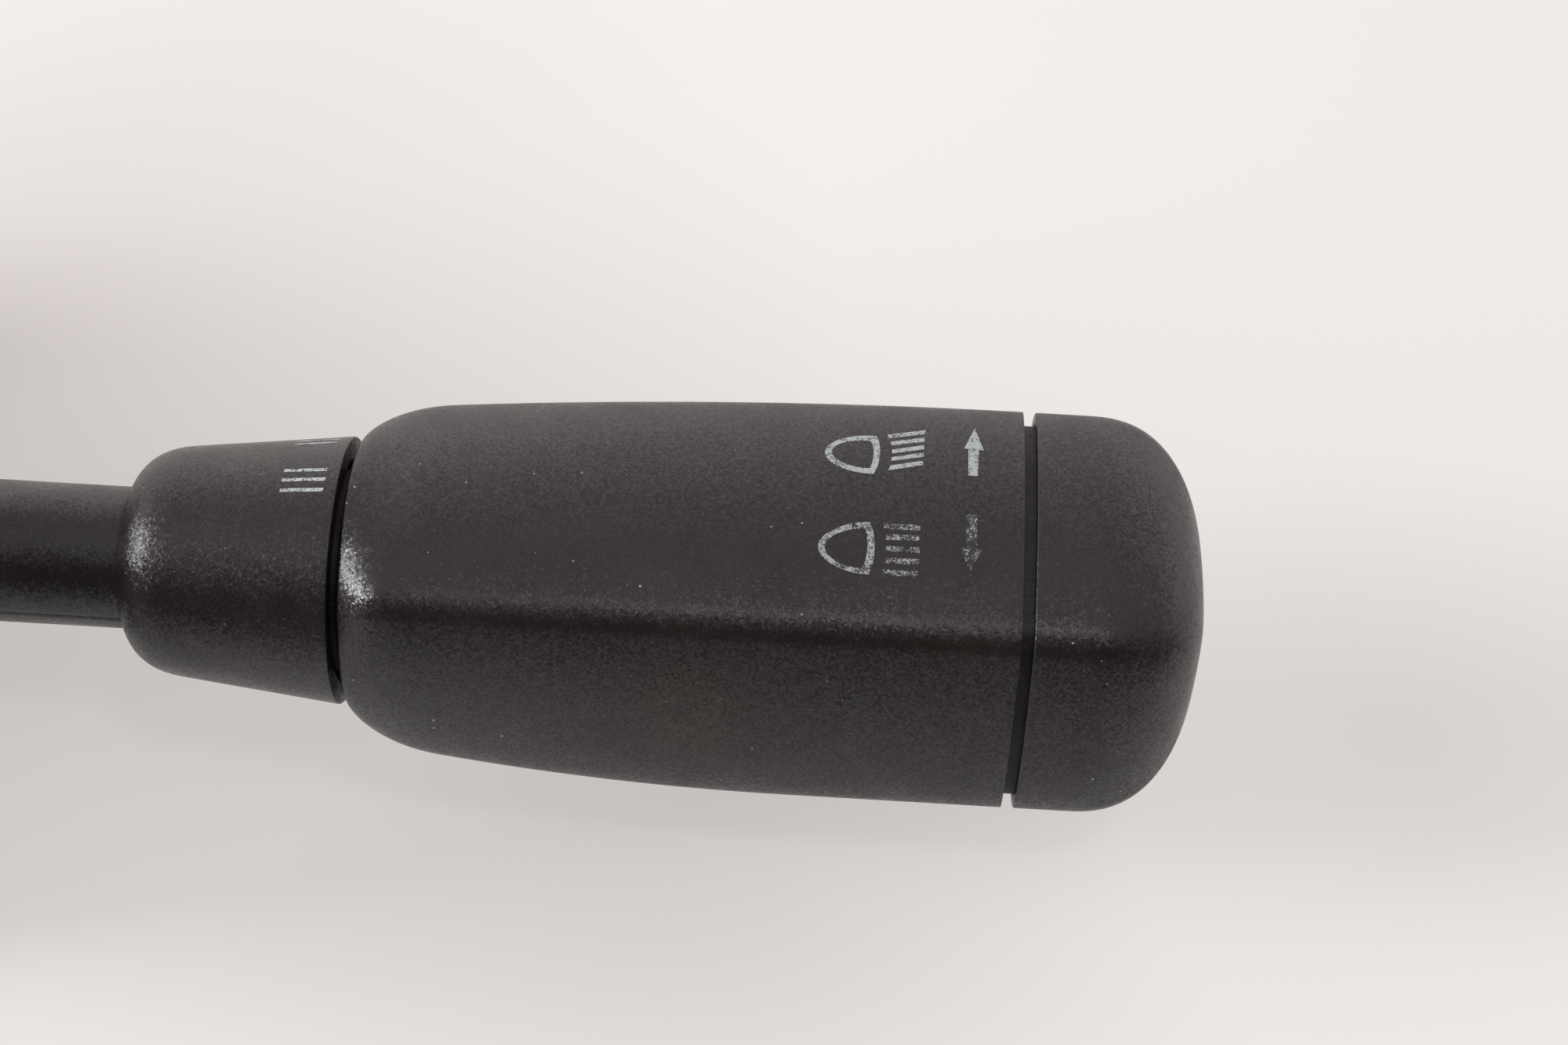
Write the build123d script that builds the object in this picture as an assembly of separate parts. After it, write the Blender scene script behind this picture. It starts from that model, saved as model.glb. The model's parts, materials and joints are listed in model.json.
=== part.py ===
"""Combination stalk switch: bracket, switch housing, turn carrier, lever with wiper ring and washer cap.

Millimetres. The origin is where the turn axis meets the mounting face. +Z runs along the steering column
towards the driver, +X along the lever to its tip, +Y is down in the car.
"""
import math
import os

from build123d import *

# ---- lever, along +X ----
lever_height = 24.5      # lever axis above the mounting face
panel_lean = 53.0        # degrees from -Y towards +Z that the grip's printed panel faces
stem_radius = 5.67
stem_bore = 4.4          # radius of the spigot that the stem is pressed on
stem_start = 16.0
stem_spigot = 24.0       # length of that spigot inside the stem
stem_tube_bore = 3.0     # radius of the bore past the spigot
stem_flat_depth = 0.35   # flat along the stem's parting line
stem_past_ring = 6.0     # stem reaches this far into the grip

# ---- wiper ring ----
ring_start = 62.0
ring_length = 17.3
ring_small_radius = 9.22
ring_rim_radius = 10.7
ring_shoulder = 4.5      # length of the rounded left end
ring_lip = 0.15          # the left end starts this far outside the stem
ring_wall = 1.7
ring_neck = 5.0          # length of the bearing on the stem
ring_step = 35.5         # degrees from one wiper position to the next
ring_positions = 4
ring_gap = 0.6           # ring to grip
plate_depth = 5.4        # fixed switch plate inside the ring
rotor_thickness = 4.0
wiper_plunger_radius = 0.9

# ---- grip: heights and depths are from the lever axis, the printed panel in front ----
grip_length = 52.4
grip_start_step = 0.6    # ring's rim stands out this far from the grip's round end
grip_top = (13.05, 15.75)      # past the shoulder, at the groove
grip_bottom = (13.45, 16.0)
grip_ridge = (12.6, 11.05)     # depth of the crease
grip_bottom_swell = 35.0       # the lower edge runs level after this length
grip_back_depth = 10.9
grip_side = -1.6         # the widest line lies this far behind the axis
grip_shoulder = 7.5      # length in which the round end opens to the full outline
ridge_shoulder = 3.8
crease_height = -1.1
crease_radius = 1.6
crease_foot_radius = 1.5
panel_slope = 20.0       # degrees that the surface looks up above the crease
crease_slope = -42.0     # under it
belly_slope = -26.0
panel_handle = (2.0, 11.6)     # roundness of the panel at its top and at the crease
belly_handle = (7.0, 1.8)
grip_wall = 2.0
lip_wall = 0.7           # thin mouth that the cap's skirt slides in
lip_length = 8.0
grip_stations = 12

# ---- washer cap ----
cap_gap = 1.0            # groove between grip and cap
cap_length = 14.0
cap_wall = 1.9
cap_round_start = 4.2    # straight length before the end rounds over
cap_round_power = 2.5
cap_stations = 6
skirt_inset = 0.95
skirt_wall = 1.3
skirt_reach = 5.0        # skirt inside the grip
skirt_seat = 4.0         # skirt inside the cap
washer_rod_radius = 1.8

# ---- switch housing ----
housing_rear = -34.0
housing_front = 30.0
housing_corner = 5.0
housing_wall = 2.2
housing_floor = 2.6
window_margin = 1.4      # air round the lever at the ends of its travel
cover_thickness = 2.4
cover_hub_radius = 8.5
boss_radius = 3.6
boss_sink = 0.6          # corner bosses reach into the walls
cover_screw_radius = 1.5
screw_head_radius = 2.9
screw_head_height = 2.0

# ---- turn carrier ----
turn_limit = 12.0        # degrees each way
tilt_limit = 7.0         # degrees each way
carrier_half_gap = 13.0  # lever axis to the carrier's plates
carrier_plate = 2.8
carrier_cheek_inner = 9.7
carrier_cheek = 3.1
carrier_front = 11.0
carrier_rear_wall = 4.6  # tilt track's thickness behind the plunger's arc
trunnion_radius = 5.0
floor_boss_wall = 3.0    # floor bearing's boss round the lower trunnion
axial_gap = 0.3
running_gap = 0.05       # radial, shafts and plungers
pivot_pin_radius = 2.5
pivot_clip_width = 0.8

# ---- detents ----
plunger_radius = 2.3
plunger_length = 10.0
detent_reach = 21.8      # turn or tilt axis to the plunger's tip
detent_gap = 0.15        # tip to the crest of the track
detent_notch = 0.6
track_back = 2.85        # turn track's thickness behind the plunger's arc
track_half_length = 12.0
track_front = 0.86       # share of the arc's radius where the tracks begin
turn_plunger_back = 11.6
turn_detent_drop = 9.5   # turn plunger below the lever axis
spring_wire = 0.35
spring_pitch = 1.6

# ---- cancel pawl ----
pawl_overhang = 3.4      # pawl's tip outside the rear wall
pawl_limit = 20.0
pawl_thickness = 3.6
pawl_half_width = 2.0
pawl_hub_radius = 4.4
pawl_post_radius = 1.8
pawl_hook_radius = 1.3

# ---- contacts and connector ----
board_thickness = 1.6
slider_room = 12.0       # turn slider's peg to the outside of the rear wall
slider_peg_radius = 1.5
slider_slot_gap = 0.3
slider_half_x = 6.6
slider_half_y = 7.5
slot_half_length = 3.2   # turn slider's slot, along the peg's arm
slider_guide_gap = 0.5
guide_rib = 1.0          # thickness of the ribs beside the sliders
contact_row = 4.0        # rivet rows on both sides of the peg
rivet_pitch = 9.0
rivet_radius = 1.1
dip_peg_setback = 7.8    # dip slider's peg in front of the tilt plunger's tip
dip_peg_radius = 1.3
dip_board_half = 8.6     # along the column
blade_width = 2.8
blade_thickness = 0.8
blade_pitch_x = 5.2
blade_pitch_z = 5.4
blade_columns = 4
blade_rows = 2
shroud_wall = 1.6
shroud_depth = 14.0
shroud_margin = 3.0      # blades to the shroud's inner wall

# ---- column bracket ----
column_radius = 24.0
bracket_wall = 4.0
bracket_height = 30.0
ear_length = 16.0
ear_thickness = 7.0
clamp_hole_radius = 3.2
bracket_screw_radius = 2.0
bracket_screw_grip = 6.0  # thread in the bracket
bracket_screw_z = 15.0

# ---- derived places ----
ring_end = ring_start + ring_length
grip_start = ring_end + ring_gap
grip_end = grip_start + grip_length
cap_start = grip_end + cap_gap
stem_end = grip_start + stem_past_ring
carrier_bottom = lever_height - carrier_half_gap - carrier_plate
carrier_top = lever_height + carrier_half_gap + carrier_plate
carrier_outer = carrier_cheek_inner + carrier_cheek
rim_height = carrier_top + axial_gap
cover_top = rim_height + cover_thickness
track_radius = detent_reach + detent_gap
board_top = housing_floor + board_thickness
inner_half_width = track_radius + track_back
housing_half_width = inner_half_width + housing_wall
corner_y = inner_half_width - boss_radius + boss_sink
bracket_screw_y = corner_y - boss_radius - screw_head_radius - axial_gap
column_x = housing_rear - bracket_wall - column_radius
slider_peg_arm = -housing_rear - slider_room
dip_peg_arm = detent_reach - dip_peg_setback
pawl_pivot = -detent_reach - 1.2
pawl_tip = housing_rear - pawl_overhang
grip_start_radius = ring_rim_radius - grip_start_step
grip_clip_radius = 2 * grip_bottom[1]
quarter_handle = 0.5523  # Bezier handle of a quarter circle of radius 1


# ---- small builders ----
def box(x, y, z):
    """Box between two corners, each axis given as (low, high)."""
    size = [high - low for low, high in (x, y, z)]
    middle = [(high + low) / 2 for low, high in (x, y, z)]
    return Pos(*middle) * Box(*size)


def rod(radius, x, y=0.0, z=lever_height):
    """Round bar along X between x[0] and x[1]."""
    return Pos((x[0] + x[1]) / 2, y, z) * Rot(0, 90, 0) * Cylinder(radius, x[1] - x[0])


def pin(radius, y, x=0.0, z=lever_height):
    """Round bar along Y."""
    return Pos(x, (y[0] + y[1]) / 2, z) * Rot(90, 0, 0) * Cylinder(radius, y[1] - y[0])


def post(radius, z, x=0.0, y=0.0):
    """Round bar along Z."""
    return Pos(x, y, (z[0] + z[1]) / 2) * Cylinder(radius, z[1] - z[0])


def about_lever(shape, degrees):
    """Turn a shape about the lever axis."""
    return shape.rotate(Axis((0, 0, lever_height), (1, 0, 0)), degrees)


def coil(length, radius):
    """Compression spring along +Z from the origin."""
    path = Helix(spring_pitch, length, radius)
    wire_plane = Plane(origin=path @ 0, z_dir=path % 0)
    return sweep(wire_plane * RegularPolygon(spring_wire, 6), path)


# ---- column bracket: saddle round the column tube, two clamp ears, flange on the housing ----
def column_bracket():
    outer = column_radius + bracket_wall
    height = (0, bracket_height)
    ring = post(outer, height, x=column_x) - post(column_radius, height, x=column_x)
    half = ring & box((column_x, 0), (-outer, outer), height)
    flange_x = (column_x + column_radius, housing_rear)
    flange = box(flange_x, (-housing_half_width, housing_half_width), height)
    flange -= post(column_radius, height, x=column_x)
    body = half + flange
    for side in (-1, 1):
        near = side * column_radius
        far = side * (outer + ear_length)
        body += box((column_x, column_x + ear_thickness), sorted((near, far)), height)
        rib_y = side * (outer + ear_length / 2)
        boss_y = sorted((side * (bracket_screw_y - 5), side * (bracket_screw_y + 6)))
        boss = box((housing_rear - bracket_screw_grip - 4, housing_rear), boss_y,
                   (bracket_screw_z - 7, bracket_screw_z + 7))
        body += boss - post(column_radius, height, x=column_x)
        ear_x = (column_x - 1, column_x + ear_thickness + 1)
        body -= rod(clamp_hole_radius, ear_x, rib_y, bracket_height / 2)
        body -= rod(bracket_screw_radius, (housing_rear - bracket_screw_grip - 0.5, housing_rear),
                    side * bracket_screw_y, bracket_screw_z)
    upright = [e for e in body.edges().filter_by(Axis.Z) if abs(e.center().Y) > outer + ear_length - 1]
    return fillet(upright, 2.5)


def screw(shank_radius, head_radius, length):
    """Pan-head screw, head above the origin, shank along -Z."""
    head = Pos(0, 0, screw_head_height / 2) * Cylinder(head_radius, screw_head_height)
    head = fillet(head.edges().sort_by(Axis.Z)[-1], screw_head_height * 0.4)
    slot_depth = screw_head_height * 0.55
    for angle in (0, 90):
        slot = Pos(0, 0, screw_head_height) * Rot(0, 0, angle) * Box(head_radius, 0.7, 2 * slot_depth)
        head -= slot
    return head + Pos(0, 0, -length / 2) * Cylinder(shank_radius, length)


def bracket_screws():
    one = screw(bracket_screw_radius, screw_head_radius, housing_wall + bracket_screw_grip)
    seat = Pos(housing_rear + housing_wall, 0, bracket_screw_z)
    return [seat * Pos(0, side * bracket_screw_y, 0) * Rot(0, 90, 0) * one for side in (-1, 1)]


# ---- housing: moulded tray, open at the top, with window, pawl slot, floor bearing and connector port ----
def corner_places():
    x_low = housing_rear + housing_wall + boss_radius - boss_sink
    x_high = housing_front - housing_wall - boss_radius + boss_sink
    return [(x, side * corner_y) for x in (x_low, x_high) for side in (-1, 1)]


def window_half_sizes():
    """Half width and half height of the lever's window, from the lever's sweep at the front wall."""
    wide = stem_radius + housing_front * math.tan(math.radians(turn_limit)) + window_margin
    high = stem_radius + housing_front * math.tan(math.radians(tilt_limit)) + window_margin
    return wide, high


def shroud_box(grow):
    """X and Z spans of the connector's inside, grown by a wall."""
    middle_x = (housing_rear + housing_front) / 2 - 8
    middle_z = housing_floor + 9.5
    half_x = (blade_columns - 1) * blade_pitch_x / 2 + blade_width / 2 + shroud_margin + grow
    half_z = (blade_rows - 1) * blade_pitch_z / 2 + blade_thickness / 2 + shroud_margin + grow
    return (middle_x - half_x, middle_x + half_x), (middle_z - half_z, middle_z + half_z)


def housing():
    length = housing_front - housing_rear
    middle = (housing_front + housing_rear) / 2
    outline = Pos(middle, 0) * RectangleRounded(length, 2 * housing_half_width, housing_corner)
    inside = Pos(middle, 0, housing_floor) * RectangleRounded(
        length - 2 * housing_wall, 2 * inner_half_width, housing_corner - housing_wall)
    body = extrude(outline, rim_height) - extrude(inside, rim_height)
    for x, y in corner_places():
        column = post(boss_radius, (housing_floor, rim_height), x, y)
        body += column & extrude(outline, rim_height)
    for x, y in corner_places():
        body -= post(cover_screw_radius, (rim_height - 14, rim_height), x, y)
    body += post(trunnion_radius + floor_boss_wall, (0, carrier_bottom - axial_gap))
    body -= post(trunnion_radius + running_gap, (housing_floor, carrier_bottom))
    wide, high = window_half_sizes()
    opening = Plane.YZ * RectangleRounded(2 * wide, 2 * high, 4)
    front = (housing_front - housing_wall - 1, housing_front + 1)
    body -= Pos(front[0], 0, lever_height) * extrude(opening, front[1] - front[0])
    pawl_z = carrier_rear_top() - 0.2
    body -= box((housing_rear - 1, housing_rear + housing_wall + 1), (-pawl_slot(), pawl_slot()),
                (pawl_z, rim_height + 1))
    for side in (-1, 1):
        body -= rod(bracket_screw_radius + 0.2, (housing_rear - 1, housing_rear + housing_wall + 1),
                    side * bracket_screw_y, bracket_screw_z)
    port_x, port_z = shroud_box(0)
    body -= box(port_x, (inner_half_width - 1, housing_half_width + 1), port_z)
    for x in (-20, -4, 12):
        rib_y = (-housing_half_width - 1.5, -housing_half_width)
        rib = box((x - 0.8, x + 0.8), rib_y, (0, rim_height - 4))
        body += fillet(rib.edges().filter_by(Axis.Z).sort_by(Axis.Y)[0:2], 0.7)
    low_rims = body.edges().group_by(Axis.Z)[0]
    sides = [e for e in low_rims if abs(e.center().Y) > housing_half_width - 0.1 and e.length > 20]
    return chamfer(sides, 0.8)


def pawl_slot():
    """Half width of the slot that the pawl sweeps through in the rear wall."""
    turn = math.radians(turn_limit)
    aim = math.radians(turn_limit + pawl_limit)
    pivot_y = abs(pawl_pivot) * math.sin(turn)
    run = abs(housing_rear) - abs(pawl_pivot) * math.cos(turn)
    return pivot_y + run * math.tan(aim) + pawl_half_width / math.cos(aim) + 1.0


def housing_cover():
    length = housing_front - housing_rear
    middle = (housing_front + housing_rear) / 2
    plate = extrude(Pos(middle, 0, rim_height) * RectangleRounded(
        length, 2 * housing_half_width, housing_corner), cover_thickness)
    plate = fillet(plate.edges().group_by(Axis.Z)[-1], 1.0)
    plate += post(cover_hub_radius, (rim_height, cover_top + 2.4))
    plate = fillet(plate.edges().group_by(Axis.Z)[-1], 1.2)
    plate -= post(trunnion_radius + running_gap, (rim_height - 1, cover_top + 0.4))
    for x, y in corner_places():
        plate -= post(cover_screw_radius + 0.25, (rim_height - 1, cover_top + 1), x, y)
    for side in (-1, 1):
        for x in (-18, 16):
            groove = box((x - 6, x + 6), sorted((side * 12, side * 20)), (cover_top - 0.8, cover_top + 1))
            plate -= fillet(groove.edges().filter_by(Axis.Z), 2)
    return plate


def cover_screws():
    one = screw(cover_screw_radius, screw_head_radius, cover_thickness + 10)
    return [Pos(x, y, cover_top) * one for x, y in corner_places()]


# ---- detent tracks: a concave arc with one notch for each position ----
def detent_cutter(half_height, angles):
    """Solid whose wall is the track: a drum of the track's radius with a groove at each angle, axis Z."""
    drum = Cylinder(track_radius, 2 * half_height)
    for angle in angles:
        groove = Pos(track_radius - 1.6 + detent_notch, 0, 0) * Cylinder(1.6, 2 * half_height)
        drum += Rot(0, 0, angle) * groove
    return drum


def turn_detent_height():
    return lever_height - turn_detent_drop


def turn_detent_track():
    half = plunger_radius + 2.2
    height = turn_detent_height()
    block = box((-track_half_length, track_half_length), (-inner_half_width, -track_radius * track_front),
                (height - half, height + half))
    angles = [-90 + step * turn_limit for step in (-1, 0, 1)]
    return block - Pos(0, 0, height) * detent_cutter(half + 1, angles)


# ---- contact board on the floor, rivets and connector ----
def contact_board():
    half = corner_y - boss_radius - axial_gap
    board = box((housing_rear + housing_wall + axial_gap, -trunnion_radius - floor_boss_wall - axial_gap),
                (-half, half), (housing_floor, board_top))
    for side in (-1, 1):
        x = -slider_peg_arm + side * (slider_half_x + slider_guide_gap + guide_rib / 2)
        board += box((x - guide_rib / 2, x + guide_rib / 2), (-half, half), (board_top, board_top + 2.6))
    return board


def board_rivets():
    top = board_top + 0.4
    rivets = []
    for x in (-slider_peg_arm - contact_row, -slider_peg_arm + contact_row):
        for step in (-1.5, -0.5, 0.5, 1.5):
            rivets.append(post(rivet_radius, (board_top, top), x, step * rivet_pitch))
    return rivets


def connector_shroud():
    outer_x, outer_z = shroud_box(shroud_wall)
    inner_x, inner_z = shroud_box(0)
    port_x, port_z = shroud_box(-0.1)
    start = housing_half_width
    body = box(outer_x, (start, start + shroud_depth), outer_z)
    body = fillet(body.edges().filter_by(Axis.Y), 1.2)
    body -= box(inner_x, (start + 1.6, start + shroud_depth + 1), inner_z)
    body += box(port_x, (inner_half_width - 2, start + 1.6), port_z)
    latch_x = sum(outer_x) / 2
    body += box((latch_x - 3, latch_x + 3), (start + 3, start + 6), (outer_z[1] - 0.2, outer_z[1] + 1.2))
    for blade in blade_places():
        body -= box(*blade_box(blade, 0.0, inner_half_width - 3, start + 2))
    return body


def blade_places():
    (x_low, x_high), (z_low, z_high) = shroud_box(0)
    places = []
    for row in range(blade_rows):
        for column in range(blade_columns):
            x = (x_low + x_high) / 2 + (column - (blade_columns - 1) / 2) * blade_pitch_x
            z = (z_low + z_high) / 2 + (row - (blade_rows - 1) / 2) * blade_pitch_z
            places.append((x, z))
    return places


def blade_box(place, grow, y_low, y_high):
    x, z = place
    half_x = blade_width / 2 + grow
    half_z = blade_thickness / 2 + grow
    return (x - half_x, x + half_x), (y_low, y_high), (z - half_z, z + half_z)


def terminal_blades():
    blades = []
    for place in blade_places():
        blade = box(*blade_box(place, 0.0, inner_half_width - 3.4, housing_half_width + shroud_depth - 5))
        tip = blade.edges().filter_by(Axis.X).sort_by(Axis.Y)[-2:]
        blades.append(chamfer(tip, 0.25))
    return blades


# ---- turn carrier: two trunnions, two cheeks, tilt track at the back, pawl post ----
def carrier_rear_top():
    return lever_height + 9.0


def turn_carrier():
    rear = -track_radius - carrier_rear_wall
    plate_y = (-carrier_outer, carrier_outer)
    body = box((rear, carrier_front), plate_y, (carrier_bottom, carrier_bottom + carrier_plate))
    body += box((-carrier_front, carrier_front), plate_y, (carrier_top - carrier_plate, carrier_top))
    for side in (-1, 1):
        cheek_y = sorted((side * carrier_cheek_inner, side * carrier_outer))
        body += box((-carrier_front, carrier_front), cheek_y, (carrier_bottom, carrier_top))
        body += box((rear, -carrier_front), cheek_y, (carrier_bottom, carrier_rear_top()))
    wall = box((rear, -track_radius * track_front), plate_y, (carrier_bottom, carrier_rear_top()))
    angles = [180 + step * tilt_limit for step in (-1, 0, 1)]
    track = Pos(0, 0, lever_height) * Rot(90, 0, 0) * detent_cutter(carrier_cheek_inner, angles)
    body += wall - track
    upright = [e for e in body.edges().filter_by(Axis.Z) if abs(e.center().Y) > carrier_outer - 0.1]
    body = fillet(upright, 1.5)
    body += post(trunnion_radius, (housing_floor + axial_gap, carrier_bottom))
    body += post(trunnion_radius, (carrier_top, cover_top + 0.1))
    body -= pin(pivot_pin_radius, (-carrier_outer - 1, carrier_outer + 1))
    body += post(slider_peg_radius, (board_top + 1.0, carrier_bottom), -slider_peg_arm)
    post_z = (carrier_rear_top(), carrier_rear_top() + pawl_thickness + 0.9)
    body += post(pawl_post_radius, post_z, pawl_pivot)
    hook = pawl_hook_x()
    body += box((hook - 2, -carrier_front), (-2, 2), (carrier_top - carrier_plate, carrier_top))
    body += post(pawl_hook_radius, (carrier_rear_top() + 0.6, carrier_top - carrier_plate), hook)
    height = turn_detent_height()
    body += pin(plunger_radius + 1.4, (-turn_plunger_back - 6.4, -carrier_outer), 0, height)
    return body - pin(plunger_radius + running_gap, (-detent_reach, -turn_plunger_back + 0.8), 0, height)


def lever_pivot_pin():
    half = carrier_outer + pivot_clip_width + 0.9
    bar = pin(pivot_pin_radius, (-half, half))
    for side in (-1, 1):
        y = sorted((side * (carrier_outer + 0.1), side * (carrier_outer + 0.9)))
        bar -= pin(pivot_pin_radius, y) - pin(pivot_pin_radius - 0.5, (-half, half))
    return bar


def pivot_clips():
    clips = []
    for side in (-1, 1):
        y = sorted((side * (carrier_outer + 0.15), side * (carrier_outer + 0.15 + pivot_clip_width - 0.15)))
        ring = pin(pivot_pin_radius + 1.6, y) - pin(pivot_pin_radius - 0.5, y)
        clips.append(ring - box((-1.2, 1.2), y, (lever_height, lever_height + 6)))
    return clips


# ---- plungers: round-nosed pins with a spring behind ----
def plunger(length):
    """Plunger along +Z, flat end at the origin."""
    body = Cylinder(plunger_radius, length, align=(Align.CENTER, Align.CENTER, Align.MIN))
    nose = body.edges().sort_by(Axis.Z)[-1]
    body = fillet(nose, plunger_radius * 0.92)
    pocket = Cylinder(plunger_radius - 0.8, length * 0.5, align=(Align.CENTER, Align.CENTER, Align.MIN))
    return body - pocket


def turn_detent_plunger():
    length = detent_reach - turn_plunger_back - 2.4
    return Pos(0, -detent_reach + length, turn_detent_height()) * Rot(90, 0, 0) * plunger(length)


def tilt_detent_plunger():
    return Pos(-detent_reach + plunger_length, 0, lever_height) * Rot(0, -90, 0) * plunger(plunger_length)


def turn_detent_spring():
    start = -turn_plunger_back + 0.4
    length = 5.2
    return Pos(0, start, turn_detent_height()) * Rot(90, 0, 0) * coil(length, plunger_radius - 1.35)


def tilt_detent_spring():
    return Pos(-yoke_eye_radius() - 0.9, 0, lever_height) * Rot(0, -90, 0) * coil(9.2, plunger_radius - 1.35)


# ---- cancel pawl ----
def cancel_pawl():
    z = (carrier_rear_top() + axial_gap, carrier_rear_top() + axial_gap + pawl_thickness)
    body = post(pawl_hub_radius, z, pawl_pivot)
    body += box((pawl_tip + 2, pawl_pivot), (-pawl_half_width, pawl_half_width), z)
    body += post(pawl_half_width, z, pawl_tip + pawl_half_width)
    body += box((pawl_pivot, pawl_pivot + 7), (-1.2, 1.2), z)
    return body - post(pawl_post_radius + running_gap, z, pawl_pivot)


def pawl_hook_x():
    """Stub under the carrier's top plate that the hairpin spring hooks over."""
    return -carrier_front - 1.6


def pawl_spring():
    """Hairpin whose legs hold the pawl's tail between them, hooked over a stub on the carrier's plate."""
    z = carrier_rear_top() + axial_gap + pawl_thickness / 2
    x_tail = pawl_pivot + 4.9
    x_turn = pawl_hook_x() + pawl_hook_radius + 0.5
    gap = pawl_hook_radius + 0.4
    corners = [(x_tail, -gap, z), (x_turn, -gap, z), (x_turn, gap, z), (x_tail, gap, z)]
    path = FilletPolyline(*corners, radius=1.2)
    start = Plane(origin=(x_tail, -gap, z), z_dir=(1, 0, 0))
    return sweep(start * Circle(0.3), path, transition=Transition.RIGHT)


# ---- turn slider on the board and dip slider on the carrier's cheek ----
def turn_slider():
    z = (board_top + 0.8, carrier_bottom - axial_gap)
    x = (-slider_peg_arm - slider_half_x, -slider_peg_arm + slider_half_x)
    body = box(x, (-slider_half_y, slider_half_y), z)
    body = fillet(body.edges().filter_by(Axis.Z), 1.0)
    slot_x = (-slider_peg_arm - slot_half_length, -slider_peg_arm + slot_half_length)
    slot_y = slider_peg_radius + slider_slot_gap
    return body - box(slot_x, (-slot_y, slot_y), (z[0] - 1, z[1] + 1))


def turn_slider_bridges():
    bridges = []
    z = (board_top + 0.55, board_top + 0.8)
    half = slider_half_y - 1.3
    for x in (-slider_peg_arm - contact_row, -slider_peg_arm + contact_row):
        bridges.append(fillet(box((x - 1.2, x + 1.2), (-half, half), z).edges().filter_by(Axis.Z), 0.8))
    return bridges


def dip_board():
    y = (carrier_cheek_inner - 0.7, carrier_cheek_inner)
    x = (-dip_peg_arm - 5, -dip_peg_arm + 5)
    z = (lever_height - dip_board_half, lever_height + dip_board_half)
    board = box(x, y, z)
    for rib in ((x[0], x[0] + guide_rib), (x[1] - guide_rib, x[1])):
        board += box(rib, (carrier_cheek_inner - 2.2, carrier_cheek_inner), z)
    return board


def dip_slider():
    y = (carrier_cheek_inner - 3.6, carrier_cheek_inner - 0.95)
    body = box((-dip_peg_arm - 3.7, -dip_peg_arm + 3.7), y, (lever_height - 4.6, lever_height + 4.6))
    body = fillet(body.edges().filter_by(Axis.Y), 0.8)
    slot_x = (-dip_peg_arm - 2.2, -dip_peg_arm + 2.2)
    slot_z = dip_peg_radius + slider_slot_gap
    return body - box(slot_x, y, (lever_height - slot_z, lever_height + slot_z))


# ---- lever: die-cast yoke, moulded stem ----
def yoke_eye_radius():
    return pivot_pin_radius + 3.4


def lever_yoke():
    eye = pin(yoke_eye_radius(), (-carrier_cheek_inner + axial_gap, carrier_cheek_inner - axial_gap))
    waist = pin(yoke_eye_radius() + 1, (4.6, carrier_cheek_inner)) + pin(
        yoke_eye_radius() + 1, (-carrier_cheek_inner, -4.6))
    tail_end = -detent_reach + 4.8
    body = eye - (waist & box((-9, -2.6), (-10, 10), (lever_height - 9, lever_height + 9)))
    body += rod(plunger_radius + 1.9, (tail_end, 0))
    body += rod(stem_radius + 0.6, (0, stem_start))
    body += rod(stem_bore, (0, stem_start + stem_spigot))
    body += pin(dip_peg_radius, (0, carrier_cheek_inner - 1.4), -dip_peg_arm)
    body -= pin(pivot_pin_radius + running_gap, (-carrier_cheek_inner, carrier_cheek_inner))
    return body - rod(plunger_radius + running_gap, (tail_end - 1, -yoke_eye_radius() - 0.6))


def lever_stem():
    body = rod(stem_radius, (stem_start, stem_end))
    flat = box((stem_start, ring_start - 1), (-stem_radius - 1, -stem_radius + stem_flat_depth),
               (lever_height - stem_radius, lever_height - 0.6))
    body -= flat
    body -= rod(stem_bore, (stem_start, stem_start + stem_spigot))
    return body - rod(stem_tube_bore, (stem_start + stem_spigot, stem_end + 1))


# ---- wiper ring, its rotor and the fixed switch plate ----
def ring_profile(inset):
    """Half section of the ring, from its left end to the rim, in (x, radius)."""
    left = ring_start + inset
    knee = ring_start + ring_shoulder
    small = ring_small_radius - inset
    rim = ring_rim_radius - inset
    start = (left, stem_radius + ring_lip)
    shoulder = Bezier(start, (left + 0.6, start[1] + 1.65), (left + 1.6, small - 0.37), (knee, small))
    side = Line((knee, small), (ring_end, rim))
    foot = Line((ring_end, rim), (ring_end, 0))
    axis = Line((ring_end, 0), (left, 0))
    rise = Line((left, 0), start)
    return make_face([shoulder, side, foot, axis, rise])


def ring_solid(inset):
    section = Plane.XZ * ring_profile(inset)
    return Pos(0, 0, lever_height) * revolve(section, Axis.X)


def wiper_ring():
    body = ring_solid(0.0)
    body -= rod(stem_radius + running_gap, (ring_start - 1, ring_end + 1))
    cavity = ring_solid(ring_wall) & rod(ring_rim_radius, (ring_start + ring_neck, ring_end + 1))
    return body - cavity


def rotor_plunger_radius():
    """Radius of the circle that the wiper detent runs on, midway between stem and ring."""
    return (stem_radius + ring_radius(ring_end - plate_depth) - ring_wall) / 2


def ring_radius(x):
    """Outer radius of the ring on its straight taper."""
    share = (x - ring_start - ring_shoulder) / (ring_length - ring_shoulder)
    return ring_small_radius + share * (ring_rim_radius - ring_small_radius)


def wiper_rotor():
    x = (ring_start + ring_neck, ring_start + ring_neck + rotor_thickness)
    body = rod(ring_rim_radius, x) & ring_solid(ring_wall)
    body -= rod(stem_radius + running_gap, (x[0] - 1, x[1] + 1))
    for index in range(ring_positions):
        notch = Pos(x[1] + 0.5, 0, lever_height + rotor_plunger_radius()) * Sphere(1.3)
        body -= about_lever(notch, 180 + index * ring_step)
    return body


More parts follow.
